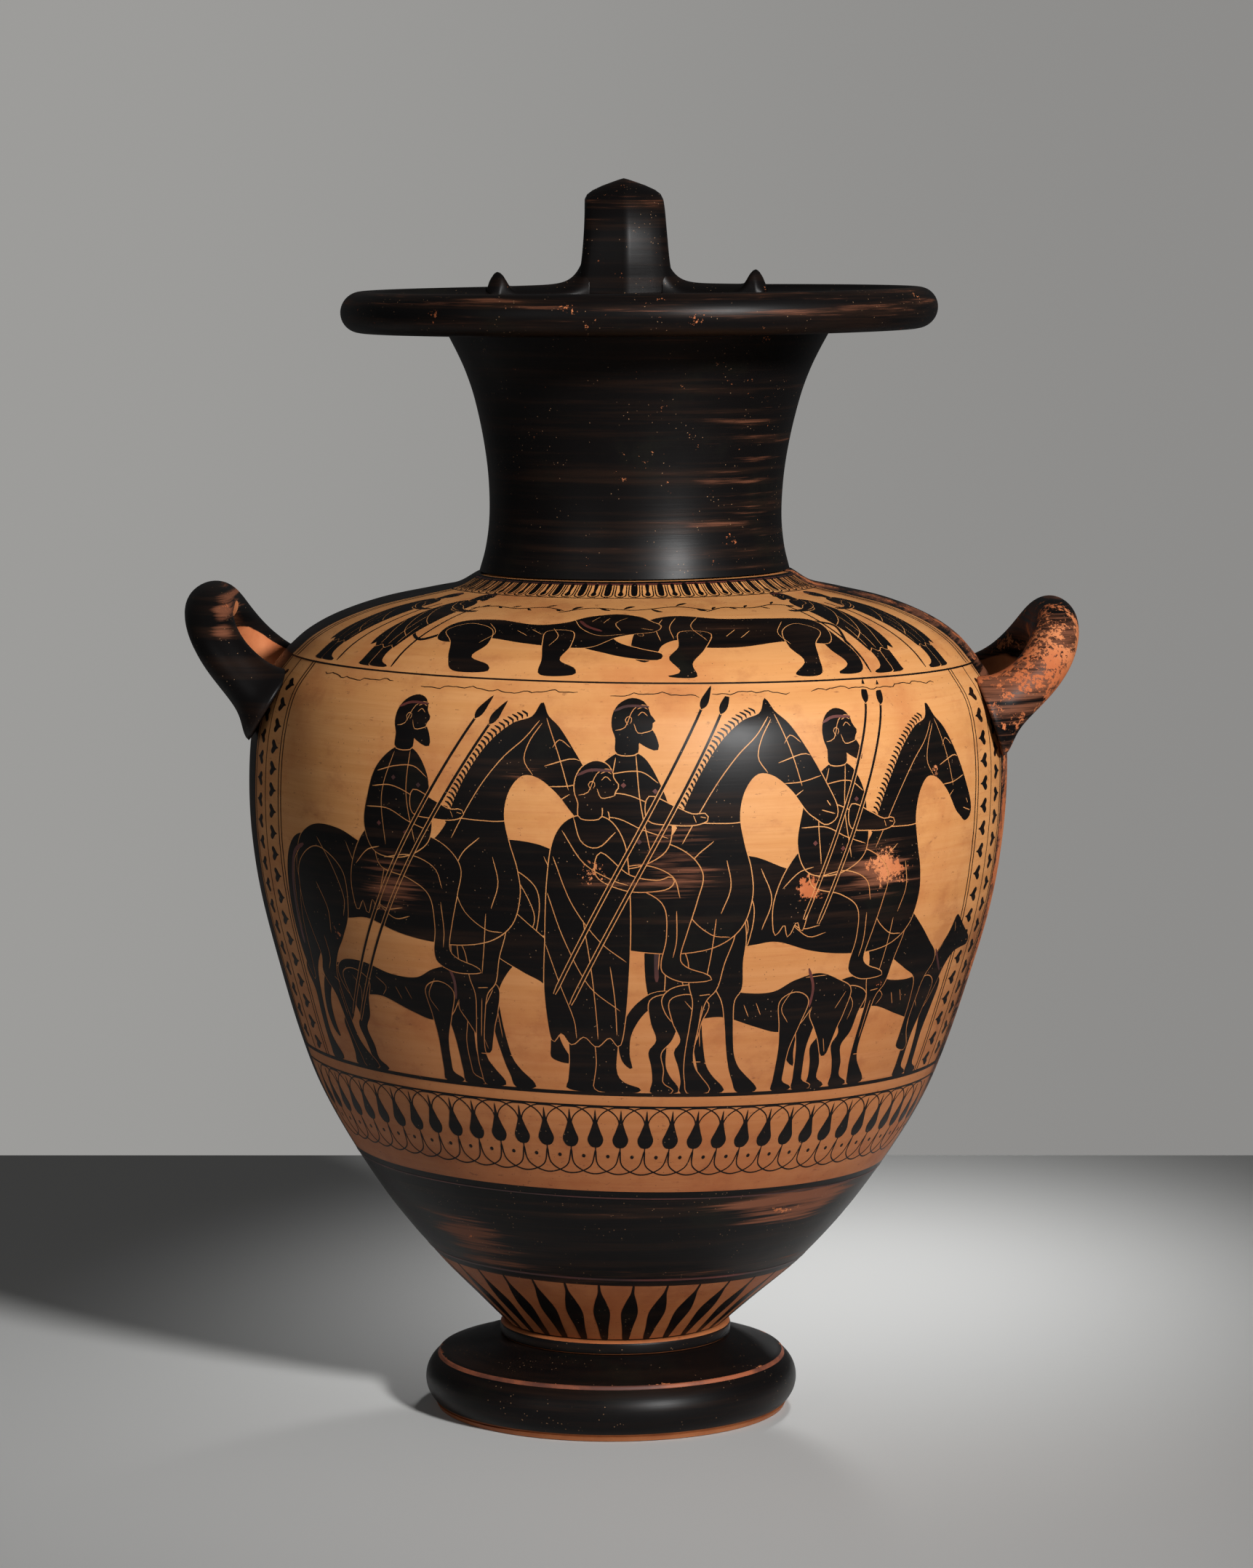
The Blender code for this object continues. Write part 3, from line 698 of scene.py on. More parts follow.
BACK_TURN = math.radians(183.2)
BACK_OUT = round_axis(1.0, BACK_TURN, 0.0)
BACK_ALONG = np.cross(UP, BACK_OUT)
STRAP = np.array([
    (0.0985, 0.3130, 0.0420, 0.0155), (0.1015, 0.3170, 0.0400, 0.0150), (0.1075, 0.3270, 0.0350, 0.0135),
    (0.1140, 0.3420, 0.0320, 0.0125), (0.1190, 0.3600, 0.0305, 0.0120), (0.1222, 0.3800, 0.0300, 0.0118),
    (0.1238, 0.4000, 0.0300, 0.0118), (0.1242, 0.4200, 0.0302, 0.0118), (0.1240, 0.4400, 0.0305, 0.0118),
    (0.1222, 0.4560, 0.0308, 0.0118), (0.1172, 0.4672, 0.0312, 0.0118), (0.1100, 0.4712, 0.0318, 0.0118),
    (0.1028, 0.4672, 0.0326, 0.0120), (0.0985, 0.4580, 0.0338, 0.0122), (0.0975, 0.4480, 0.0356, 0.0124),
    (0.0980, 0.4400, 0.0380, 0.0126), (0.0984, 0.4330, 0.0400, 0.0130),
])
RIB_RISE = 0.0030


def build_back_handle():
    """A strap with a rib along its outer face, from the shoulder up and over to the mouth."""
    line = smooth_line(STRAP, 0.0016)
    centre = BACK_OUT * line[:, :1] + UP * line[:, 1:2]
    heading = unit(np.gradient(centre, axis=0))
    outward = -unit(np.cross(heading, BACK_ALONG))
    half, deep = line[:, 2:3] / 2, line[:, 3:4] / 2
    outer = [(0, 1, 1), (0.10, 1, 0.86), (0.30, 1, 0.50), (0.55, 0.93, 0.16), (0.80, 0.70, 0),
        (0.94, 0.42, 0), (1.0, 0.10, 0), (0.985, -0.25, 0), (0.93, -0.60, 0), (0.82, -0.85, 0),
        (0.60, -1.0, 0), (0.30, -1.0, 0), (0, -1.0, 0)]
    shape = np.array(outer + [(-x, y, r) for x, y, r in outer[-2:0:-1]])
    rings = (centre[:, None] + BACK_ALONG * (half * shape[:, 0])[..., None]
        + outward[:, None] * (deep * shape[:, 1] + RIB_RISE * shape[:, 2])[..., None])
    piece = swept("strap_handle", rings, [SLIP_MATERIAL])
    weigh(piece, "thin_slip_and_sheen", lambda t, x, y, z: 0.35 * near(z, 0.475, 0.02) + 0.1)
    weigh(piece, "wear", lambda t, x, y, z: 0.08 + 0.12 * near(z, 0.470, 0.03)
        + 0.12 * near(z, 0.440, 0.006))
    return settle_piece(piece, "black_gloss", "back_handle")


def build_arm(name, side, node):
    """An arm that leaves the strap in a hollow curve, runs along the mouth, and ends in a low spur."""
    steps, around = 70, 28
    t = np.linspace(0, 1, steps + 1)
    start = math.asin(0.0155 / 0.1010)
    turn = BACK_TURN + side * (start + (math.radians(33.5) - start) * t)
    height = 0.0020 + 0.0145 * np.exp(-t / 0.085) + 0.0062 * np.exp(-(((t - 0.885) / 0.075) ** 2))
    height *= np.sqrt(np.clip((1.0 - t) / 0.06, 0, 1) * 0.9 + 0.1)
    width = 0.0052 * (1.3 - 0.5 * t) * np.sqrt(np.clip((1.02 - t) / 0.08, 0, 1))
    a = np.linspace(0, 2 * np.pi, around, endpoint=False)
    side_way = np.sign(np.cos(a)) * np.abs(np.cos(a)) ** 0.8
    up_way = np.sin(a)
    radius = 0.1010 + width[:, None] * side_way
    base = np.interp(radius, [0.088, 0.098, 0.103, 0.108], [0.4318, 0.4335, 0.4352, 0.4366])
    z = base + np.where(up_way > 0, height[:, None] * up_way, 0.0022 * up_way)
    rings = round_axis(radius, turn[:, None], z)
    piece = swept(name, rings, [SLIP_MATERIAL])
    weigh(piece, "wear", lambda t_, x, y, z_: 0.10 + 0.08 * near(z_, 0.4375, 0.0015))
    return settle_piece(piece, "black_gloss", node)


def make_inside():
    """The unpainted inside: dull reddish-brown clay, rough from throwing."""
    material, work, shader, place = start_material("bare_inside")
    streak = use(work, STREAKS, place)
    colour = work.mix(work.step(streak["Broad"], 0.35, 0.70), (0.185, 0.078, 0.036, 1),
        (0.30, 0.135, 0.062, 1))
    work.link(colour, shader.inputs["Base Color"])
    work.link(work.math("ADD", 0.62, work.math("MULTIPLY", streak["Blotch"], 0.2)),
        shader.inputs["Roughness"])
    return material


def make_red_line():
    """A scored line with red in it, rubbed back to clay in places."""
    material, work, shader, place = start_material("scored_line")
    streak = use(work, STREAKS, place)
    colour = work.mix(work.step(streak["Blotch"], 0.40, 0.62), (0.30, 0.085, 0.035, 1),
        (0.085, 0.026, 0.016, 1))
    work.link(colour, shader.inputs["Base Color"])
    work.link(work.math("ADD", 0.45, work.math("MULTIPLY", streak["Blotch"], 0.2)),
        shader.inputs["Roughness"])
    return material


INSIDE_MATERIAL, RED_LINE_MATERIAL = make_inside(), make_red_line()

# ---- painting -------------------------------------------------------------------------------------
# A painting is a list of (paint, outline): closed outlines in a flat plane, in millimetres, each laid over
# the ones before it. Paint 0 leaves the clay bare, 1 is slip and 2 is added red.
BARE_CLAY, BLACK, RED = 0, 1, 2

# Millimetres of each painting plane to one radian round the jar.
BODY_SPREAD, SHOULDER_SPREAD, RAY_SPREAD = 140.0, 100.0, 60.0


def blob(points, step=1.6):
    """A closed, rounded outline through the points."""
    return smooth_line(points, step, closed=True)


def stroke(points, width, step=1.8, smooth=True):
    """A brush line: its middle moved half a width to each side, and narrowed at both ends."""
    line = smooth_line(points, step) if smooth else np.asarray(points, float)
    along = np.gradient(line, axis=0)
    along /= np.linalg.norm(along, axis=1, keepdims=True)
    side = np.stack([-along[:, 1], along[:, 0]], 1) * width / 2
    ends = np.ones(len(line))
    ends[[0, -1]] = 0.45
    side *= ends[:, None]
    return np.vstack([line + side, (line - side)[::-1]])


def signed_area(outline):
    x, y = outline.T
    return 0.5 * np.sum(x * np.roll(y, -1) - np.roll(x, -1) * y)


def lay_paint(name, painting, place, lift=0.00009, spread=3.2, node_slot="black_gloss", materials=None):
    """Cuts the plane along every outline, keeps what is painted, and wraps it on the wall, proud of the clay.

    place(x, y, lift) maps the plane's millimetres to points on the jar. The cut is a constrained Delaunay
    triangulation, with a net of extra points every spread millimetres so that the skin bends with the
    wall. Each triangle takes the last outline that covers it, and open edges get a rim that goes down
    into the wall. The normals are the wall's own, so that paint and clay take the light alike.
    """
    points, outlines, paints = [], [], []
    low = np.min([o.min(0) for _, o in painting], 0)
    high = np.max([o.max(0) for _, o in painting], 0)
    for paint, outline in painting:
        if signed_area(outline) < 0:
            outline = outline[::-1]
        outlines.append(list(range(len(points), len(points) + len(outline))))
        points.extend(Vector(p) for p in outline.tolist())
        paints.append(paint)
    net = np.stack(np.meshgrid(np.arange(low[0], high[0], spread), np.arange(low[1], high[1], spread)), -1)
    points.extend(Vector(p) for p in net.reshape(-1, 2).tolist())
    flat, _, faces, _, _, covers = delaunay_2d_cdt(points, [], outlines, 1, 1e-4, True)
    paint_of = np.array([paints[max(c)] if c else 0 for c in covers])
    kept = [f for f, p in zip(faces, paint_of) if p]
    kinds = paint_of[paint_of > 0] - 1
    flat = np.array([tuple(p) for p in flat])
    triangles = np.array(kept)
    used, triangles = np.unique(triangles, return_inverse=True)
    triangles = triangles.reshape(-1, 3)
    flat = flat[used]
    top, under = place(flat[:, 0], flat[:, 1], lift), place(flat[:, 0], flat[:, 1], -0.00006)
    edges = np.concatenate([triangles[:, [0, 1]], triangles[:, [1, 2]], triangles[:, [2, 0]]])
    owner = np.tile(np.arange(len(triangles)), 3)
    key = np.sort(edges, 1) @ np.array([len(flat), 1])
    _, first, count = np.unique(key, return_index=True, return_counts=True)
    open_edges = first[count == 1]
    a, b = edges[open_edges].T
    n = len(flat)
    rim = np.concatenate([np.stack([b, a, a + n], 1), np.stack([b, a + n, b + n], 1)])
    rim_kinds = np.tile(kinds[owner[open_edges]], 2)
    every = np.concatenate([triangles, rim])
    used, every = np.unique(every, return_inverse=True)
    piece = make_mesh(
        name, np.vstack([top, under])[used], every.reshape(-1, 3),
            materials or [PAINT_MATERIAL, RED_MATERIAL],
        np.concatenate([kinds, rim_kinds]),
    )
    normals = unit(top - under)
    piece.data.normals_split_custom_set_from_vertices(np.vstack([normals, normals])[used].tolist())
    return settle_piece(piece, node_slot)


def body_plane(base_s):
    """Millimetres on the body's wall: x is turn times BODY_SPREAD, y the distance up from base_s."""
    return lambda x, y, lift: BODY_WALL.place(x / BODY_SPREAD, base_s + y / 1000.0, lift)


def shoulder_plane():
    """Millimetres on the shoulder: x is turn times SHOULDER_SPREAD, y the distance up from the shoulder's edge."""
    return lambda x, y, lift: SHOULDER_WALL.place(x / SHOULDER_SPREAD, y / 1000.0, lift)


def band_line(low, high, half, x_scale=BODY_SPREAD, middle=0.0):
    """A level band from y low to y high across the painted front."""
    x = np.arange(-half, half + 1e-6, math.radians(1.5)) * x_scale
    x = np.concatenate([x, [half * x_scale]]) if half * x_scale - x[-1] > 0.1 else x
    return np.vstack([np.stack([x, np.full(len(x), low)], 1), np.stack([x, np.full(len(x), high)],
        1)[::-1]]) + [middle, 0]


def paint_tongues():
    """Slip tongues round the neck's base, each in its own thin U, under a red line."""
    top = SHOULDER_WALL.s[-1] * 1000 - 2.2
    low = top - 9.2
    painting = [(BLACK, band_line(top, top + 2.4, FRONT, SHOULDER_SPREAD)),
        (RED, band_line(top + 0.3, top + 1.0, FRONT, SHOULDER_SPREAD))]
    painting.append((BLACK, band_line(low - 1.0, low - 0.45, FRONT, SHOULDER_SPREAD)))
    pitch = math.radians(360 / 84) * SHOULDER_SPREAD
    count = int(FRONT * SHOULDER_SPREAD / pitch)
    for i in range(-count, count + 1):
        x = i * pitch
        if abs(x) > FRONT * SHOULDER_SPREAD - 2:
            continue
        w = pitch * 0.40
        painting.append((BLACK, stroke([(x - w, top + 0.2), (x - w, low + 2.4), (x - w * 0.6, low + 0.7),
            (x, low + 0.25), (x + w * 0.6, low + 0.7), (x + w, low + 2.4), (x + w, top + 0.2)], 0.62, 1.0)))
        tongue = w * 0.52
        if i % 2 == 0:
            painting.append((BLACK, blob([(x - tongue, top + 0.2), (x - tongue, low + 3.0), (x, low + 1.3),
                (x + tongue, low + 3.0), (x + tongue, top + 0.2)], 0.8)))
        else:
            painting.append((BLACK, blob([(x - tongue * 0.7, top + 0.2), (x - tongue * 0.45, low + 5.0),
                (x - tongue, low + 2.8), (x, low + 1.2), (x + tongue, low + 2.8),
                (x + tongue * 0.45, low + 5.0), (x + tongue * 0.7, top + 0.2)], 0.8)))
    return lay_paint("tongue_band", painting, shoulder_plane(), spread=4.0)


def leaf(x, y, way, size):
    """An ivy leaf: two lobes towards the stem line and a drawn-out tip away from it."""
    shape = np.array([(-0.55, 0.0), (-0.95, 0.45), (-0.75, 0.85), (-0.25, 0.90), (0.25, 0.55), (0.72, 0.18),
        (1.25, 0.05), (1.25, -0.05), (0.72, -0.18), (0.25, -0.55), (-0.25, -0.90), (-0.75, -0.85),
        (-0.95, -0.45)])
    return blob(shape * [size * way, size] + [x, y], 0.7)


def paint_ivy(side):
    """Ivy leaves in two files, back to back on a thin line, between double lines beside the picture."""
    base = BODY_WALL.at_height(GROUND)
    top = (BODY_WALL.s[-1] - base) * 1000
    inner, outer = PANEL * BODY_SPREAD * side, FRONT * BODY_SPREAD * side
    width = outer - inner
    painting = []
    for share, thick in ((0.015, 0.55), (0.085, 0.55), (0.50, 0.45), (0.90, 0.6), (0.985, 0.9)):
        x = inner + width * share
        y = np.arange(0, top + 0.01, 2.0)
        y[-1] = top
        painting.append((BLACK, np.vstack([np.stack([np.full(len(y), x - thick / 2), y], 1),
            np.stack([np.full(len(y), x + thick / 2), y], 1)[::-1]])))
    pitch = 8.4
    for i in range(int(top / pitch)):
        for share, way, lag in ((0.27, -1, 0.0), (0.71, 1, 0.35)):
            x = inner + width * share
            y = 4.6 + (i + lag) * pitch
            if y < top - 4:
                painting.append((BLACK, leaf(x, y, way * side, 3.0)))
    return lay_paint("ivy_band_right" if side > 0 else "ivy_band_left", painting, body_plane(base),
        spread=4.0)


def paint_buds():
    """A chain of lotus buds, each joined to its next neighbour but one by an arc above and a loop below."""
    low, ground = BODY_WALL.at_height(BUDS_LOW), BODY_WALL.at_height(GROUND)
    height = (ground - low) * 1000
    edge = FRONT * BODY_SPREAD
    painting = [(BLACK, band_line(height - 0.7, height + 0.75, FRONT)),
        (BLACK, band_line(height - 5.6, height - 4.9, FRONT))]
    pitch = 11.0
    count = int(edge / pitch) + 1
    top = height - 5.6
    def keep(outline):
        return np.abs(outline[:, 0]).max() < edge - 0.3
    for i in range(-count, count + 1):
        x = i * pitch
        bud_low, bud_top = height - 23.5, height - 8.2
        arcs = [
            stroke([(x, bud_low - 1.0), (x + pitch * 0.12, bud_low - 9.0),
                (x + pitch * 0.9, bud_low - 13.0), (x + pitch * 1.75, bud_low - 9.5),
                (x + pitch * 2, bud_low - 1.0)], 0.55, 1.5),
            stroke([(x, bud_low + 5.0), (x + pitch * 0.12, top - 5.0), (x + pitch * 0.55, top - 0.9),
                (x + pitch, top - 0.2), (x + pitch * 1.45, top - 0.9), (x + pitch * 1.88, top - 5.0),
                (x + pitch * 2, bud_low + 5.0)], 0.5, 1.5),
            stroke([(x, bud_low + 1), (x, bud_low - 6.0)], 0.5, 1.5),
        ]
        painting += [(BLACK, o) for o in arcs if keep(o)]
    for i in range(-count, count + 1):
        x = i * pitch
        bud = blob([(x, bud_top + 1.5), (x + 0.75, bud_top - 3.5), (x + 2.2, bud_low + 7.2),
            (x + 3.5, bud_low + 3.4), (x + 2.2, bud_low + 0.4), (x, bud_low - 0.3),
            (x - 2.2, bud_low + 0.4), (x - 3.5, bud_low + 3.4), (x - 2.2, bud_low + 7.2),
            (x - 0.75, bud_top - 3.5)], 1.0)
        if keep(bud):
            painting.append((BLACK, bud))
        dot = blob(arc((x + pitch / 2, bud_low - 4.4), 0.85, 0, 320, 8), 0.6)
        if keep(dot):
            painting.append((BLACK, dot))
    return lay_paint("bud_band", painting, body_plane(low), spread=4.0)


def paint_rays():
    """Leaf-shaped rays standing round the body above the fillet; the red line over their tips is laid by
    paint_zone_lines.
    """
    low, top = BODY_WALL.at_height(RAYS_LOW), BODY_WALL.at_height(RAYS_TOP)
    height = (top - low) * 1000
    count, painting = 34, []
    pitch = 2 * math.pi * RAY_SPREAD / count
    for i in range(count):
        x = (i + 0.5 - count / 2) * pitch
        h = height - 1.5
        half = pitch * 0.30
        painting.append((BLACK, blob([
            (x - 1.5, -0.2), (x - half * 0.72, h * 0.22), (x - half, h * 0.50), (x - half * 0.62, h * 0.72),
                (x - 0.62, h * 0.90), (x - 0.32, h + 1.6),
            (x + 0.32, h + 1.6), (x + 0.62, h * 0.90), (x + half * 0.62, h * 0.72), (x + half, h * 0.50),
                (x + half * 0.72, h * 0.22), (x + 1.5, -0.2),
        ], 1.2)))
    place = lambda x, y, lift: BODY_WALL.place(x / RAY_SPREAD, low + y / 1000.0, lift)
    return lay_paint("ray_band", painting, place, spread=3.5)


def paint_zone_lines():
    """Thin red lines round the black zone, and a brown one over the rays."""
    painting = []
    for z, thick in ((0.1000, 0.5), (0.0628, 1.1)):
        s = BODY_WALL.at_height(z) * 1000
        painting.append((RED, band_line(s, s + thick, math.pi - 0.001)))
    return lay_paint("zone_lines", painting, body_plane(0.0), lift=0.00011, spread=6.0)


# ---- figures, facing right, in hundredths of a horse's height at the withers ----


def carry(points, at, size=1.0, flip=False, bend=0.0):
    """Points scaled and moved; flip mirrors them, and bend slides them forward below y = 80."""
    points = np.array(points, float)
    points[:, 0] += bend * np.clip(1 - points[:, 1] / 80, 0, 1)
    if flip:
        points[:, 0] *= -1
    return points * size + at


def widened(outline, gap):
    """The outline moved outwards along its normals by gap."""
    if signed_area(outline) < 0:
        outline = outline[::-1]
    along = np.roll(outline, -1, 0) - np.roll(outline, 1, 0)
    along /= np.linalg.norm(along, axis=1, keepdims=True) + 1e-9
    return outline + gap * np.stack([along[:, 1], -along[:, 0]], 1)


class Figure:
    """Collects the painted outlines of one figure at its place in the picture."""

    def __init__(self, at, size=1.0, flip=False):
        self.at, self.size, self.flip, self.painting = at, size, flip, []

    def solid(self, points, paint=BLACK, bend=0.0, rim=0.42):
        outline = blob(carry(points, self.at, self.size, self.flip, bend), 1.5)
        if rim:
            self.painting.append((BARE_CLAY, widened(outline, rim)))
        self.painting.append((paint, outline))

    def cut(self, *lines, width=0.40, bend=0.0):
        for points in lines:
            points = carry(points, self.at, self.size, self.flip, bend)
            length = np.linalg.norm(np.diff(points, axis=0), axis=1).sum()
            self.painting.append((BARE_CLAY, stroke(points, width, min(1.8, length / 7))))

    def line(self, points, width, paint=BLACK, rim=0.0, smooth=True):
        outline = stroke(carry(points, self.at, self.size, self.flip), width, smooth=smooth)
        if rim:
            self.painting.append((BARE_CLAY, widened(outline, rim)))
        self.painting.append((paint, outline))

    def ring(self, x, y, radius, width=0.34):
        a = np.linspace(0, 2 * np.pi, 11)
        self.cut(np.stack([x + radius * np.cos(a), y + radius * np.sin(a)], 1), width=width)

    def spear(self, low, high, rim=0.38):
        """A shaft with a leaf-shaped blade, from its butt low to its point high."""
        low, high = np.array(low, float), np.array(high, float)
        way = (high - low) / np.linalg.norm(high - low)
        side = np.array([-way[1], way[0]])
        count = int(np.linalg.norm(high - low) / 3)
        self.line([low + (high - low) * t for t in np.linspace(0, 1, count)], 0.95, rim=rim, smooth=False)
        neck = high - way * 11
        self.solid([neck, neck + way * 3 + side * 1.5, high - way * 3 + side * 0.8, high,
            high - way * 3 - side * 0.8, neck + way * 3 - side * 1.5], rim=rim)


HIND = [(33, 64), (27, 54), (20, 46), (15.5, 38), (15.2, 28), (16.2, 18), (17.6, 11.5), (20.6, 7),
    (25.0, 2.6), (25.0, 0.2), (17, 0), (15.4, 4.6), (13.8, 10), (12.2, 18), (10.4, 28), (5.5, 36.5),
    (8, 44), (6, 54), (4, 66), (7, 80), (20, 88), (34, 80)]
FORE = [(106, 76), (107, 64), (105, 53), (104.0, 43), (100.6, 37.5), (99.6, 28), (99.4, 17), (101, 11),
    (104.4, 6.8), (108.6, 2.4), (108.4, 0.2), (100.4, 0), (98.4, 4.6), (97, 10.4), (96.4, 18), (96.4, 28),
    (96, 37), (93.5, 44), (91.5, 54), (86, 66), (90, 78), (100, 83)]
LIFTED = [(105, 74), (115, 66), (124, 58), (130, 53), (131, 48.5), (126.6, 42), (124.8, 32), (124, 24),
    (125.4, 19), (128.4, 13.6), (127.2, 11.4), (120.8, 13.4), (120.6, 18), (121, 25), (121.2, 34),
    (119.5, 43), (111, 48), (101, 54), (93, 62), (96, 76)]
TRUNK = [(6, 84), (10, 92), (20, 97), (34, 96.5), (48, 91.5), (62, 90), (74, 94), (82, 102), (86, 113),
    (91, 124), (98, 135), (106, 142.5), (113, 145.5), (116, 151.5), (119, 146), (124, 141), (131, 130.5),
    (138, 118.5), (142, 111), (142, 106.5), (138, 104.3), (134, 106.5), (130, 109.5), (124, 117),
    (117, 122.5), (111, 123), (106.5, 117), (105, 108), (107, 98), (110, 88), (111, 78), (108, 67),
    (100, 60), (88, 57), (74, 57), (60, 59), (46, 63), (36, 62), (22, 60), (10, 66), (5, 76)]


def draw_horse(figure, lifted=True, stride=0.0, rein_to=(86, 106)):
    """A horse pacing with an arched neck: far legs, tail, trunk, near legs, then the incised lines."""
    figure.solid(HIND, bend=-16 + stride)
    if lifted:
        figure.solid(LIFTED)
    else:
        figure.solid(FORE, bend=14)
    figure.solid([(11, 92), (3, 89), (-3, 79), (-5, 62), (-4, 46), (-1, 36), (2, 33), (3, 44), (3, 58),
        (5, 70), (9, 79), (14, 86)])
    figure.solid(FORE, bend=-8 + stride if lifted else -10 + stride)
    figure.solid(TRUNK)
    figure.solid(HIND, bend=8 - stride)
    crest = smooth_line([(83, 104), (86, 113), (91, 124), (98, 135), (106, 142.5), (113, 146)], 1.9)
    for (x, y), (x1, y1) in zip(crest[:-1], crest[1:]):
        figure.line([(x, y), ((x + x1) / 2 - 1.1, (y + y1) / 2 + 0.7), (x - 2.4, y + 2.3)], 0.75)
    figure.cut([(85, 98), (91, 110), (97, 120.5), (104, 130), (111, 137), (116, 144)])
    figure.cut([(96, 99), (89, 92), (86, 82), (89, 71), (97, 64), (104, 63)],
        [(101, 92), (103, 82), (100, 72)])
    figure.cut([(117, 143), (113, 136), (111.5, 129), (115, 123.5)], [(141.5, 108), (136, 109.5)],
        [(138, 113), (139.5, 111)])
    figure.ring(124.6, 134.6, 1.25)
    figure.cut([(121.5, 134), (124, 137), (128, 134.2)], width=0.34)
    figure.cut([(118.5, 145), (124, 131), (128, 118.5)], [(121, 119.5), (128, 120), (135.5, 122)],
        [(119, 127), (128, 130), (131.5, 129.5)])
    figure.cut([(128.5, 117), (118, 110), (106, 106), (96, 105.5), rein_to])
    figure.cut([(37, 92), (42, 80), (39, 68)], [(48, 73), (55, 68), (63, 69)],
        [(52, 69), (59, 64.5), (66, 66)])
    figure.cut([(20, 92), (28, 82), (33, 70), (31, 62)], [(17, 74), (22, 64), (21, 54)], bend=4)
    figure.cut([(14, 53), (14, 44), (10.5, 38.5)], [(13, 36), (16, 34)], [(14, 32), (14.5, 20)],
        [(16.5, 13), (20, 12)], bend=8 - stride)
    figure.cut([(99, 70), (99, 58), (98.5, 46)], [(96.8, 40), (101, 40.5)], [(98.5, 36), (98.3, 20)],
        [(98, 13), (101.5, 13)], bend=-8 + stride)
    figure.line([(11, 88), (4, 84), (0.5, 74), (-0.6, 60), (0, 47)], 1.6, RED)
    figure.cut([(8, 86), (3, 80), (1, 68), (0.4, 52)])


def draw_head(figure, x, y, beard=True):
    """A head in profile on a plain, even scheme: straight nose, small lips, round chin, hair and beard."""
    skull = [(-4.9, -1.5), (-6.3, 2.6), (-6.2, 7.4), (-4.0, 11.8), (0.2, 14.2), (4.4, 13.2), (6.6, 10.2),
        (7.2, 7.8), (9.2, 5.0), (8.0, 4.1), (8.2, 3.0), (7.6, 2.1), (7.8, 0.7), (6.4, -1.0), (3.6, -2.4),
        (2.8, -7), (-4.2, -7)]
    figure.solid([(x + a, y + b) for a, b in skull])
    if beard:
        figure.solid([(x + a, y + b) for a, b in [(8.2, 1.6), (10.4, -3.6), (9.6, -5.8), (5.4, -4.2),
            (1.8, -1.2), (2.6, 2.4), (5.4, 1.2)]], rim=0)
        figure.cut([(x + 1.5, y + 4.0), (x + 3.0, y + 0.6), (x + 6.2, y + 1.0), (x + 8.0, y + 1.7)],
            width=0.34)
    figure.ring(x + 4.4, y + 7.2, 0.95, 0.30)
    figure.cut([(x + 2.9, y + 7.1), (x + 4.5, y + 8.5), (x + 6.3, y + 7.0)],
        [(x + 2.6, y + 9.6), (x + 4.6, y + 10.4), (x + 6.4, y + 9.6)],
        [(x - 0.6, y + 3.4), (x - 1.6, y + 5.4), (x - 0.4, y + 6.8), (x + 0.8, y + 5.6),
        (x + 0.1, y + 4.0)], [(x - 5.0, y + 1.4), (x - 1.6, y + 2.6), (x + 0.8, y + 8.8),
        (x + 3.4, y + 11.2), (x + 6.2, y + 11.2)], width=0.32)
    figure.line([(x - 5.9, y + 8.6), (x - 1, y + 10.8), (x + 6.8, y + 10.6)], 1.05, RED)


def draw_rider(figure, lean=0.0, hand=(88, 107)):
    """A rider in a short cloak, sitting upright with one foot forward."""
    figure.solid([(54, 99), (47, 91), (43, 78), (44.5, 66), (48, 70), (50, 65), (53, 71), (55.5, 67),
        (57.5, 76), (60, 88)], rim=0.42)
    figure.solid([(58, 97), (74, 99), (86, 95), (92.5, 87), (91, 77), (88, 65), (86, 55), (89, 51),
        (96, 48.5), (98, 46.3), (88, 45.6), (81, 48.5), (79.5, 53), (81, 63), (79.5, 75), (71, 81),
        (58, 85)])
    figure.solid([(56, 90), (51, 100), (51 + lean, 112), (54 + lean, 122), (60 + lean, 129),
        (66 + lean, 131.5), (72 + lean, 129), (77 + lean, 121), (80, 111), (81, 101), (78, 94), (68, 89)])
    draw_head(figure, 66.5 + lean, 137.5)
    figure.cut([(55 + lean, 121), (63 + lean, 123.5), (71 + lean, 124), (77 + lean, 120)],
        [(53 + lean, 115), (63, 116), (72, 113), (79, 108)], [(52, 107), (62, 107), (71, 103), (80, 100)],
        [(62 + lean, 129), (59, 112), (61, 93)], [(69 + lean, 130), (70, 113), (74, 95)])
    figure.cut([(60, 88), (72, 90), (82, 86), (85, 78)], [(46, 84), (52, 90), (58, 92)],
        [(84, 73), (84.5, 62), (83.5, 55)])
    x, y = hand
    figure.solid([(73, 115), (82, 111.5), (x, y + 1.8), (x + 4.5, y + 2.0), (x + 5.4, y - 0.4),
        (x + 1, y - 2.0), (82, 105), (73, 106.5)])
    figure.cut([(x + 0.5, y + 1.4), (x + 1.6, y - 1.2)], [(x + 3, y + 0.9), (x + 5, y + 0.5)], width=0.32)
    for dot in ((64, 119), (75, 117), (58, 101), (70, 98.5)):
        figure.solid([(dot[0] + a, dot[1] + b) for a, b in ((-1, 0), (0, 1), (1, 0), (0, -1))], RED, rim=0)


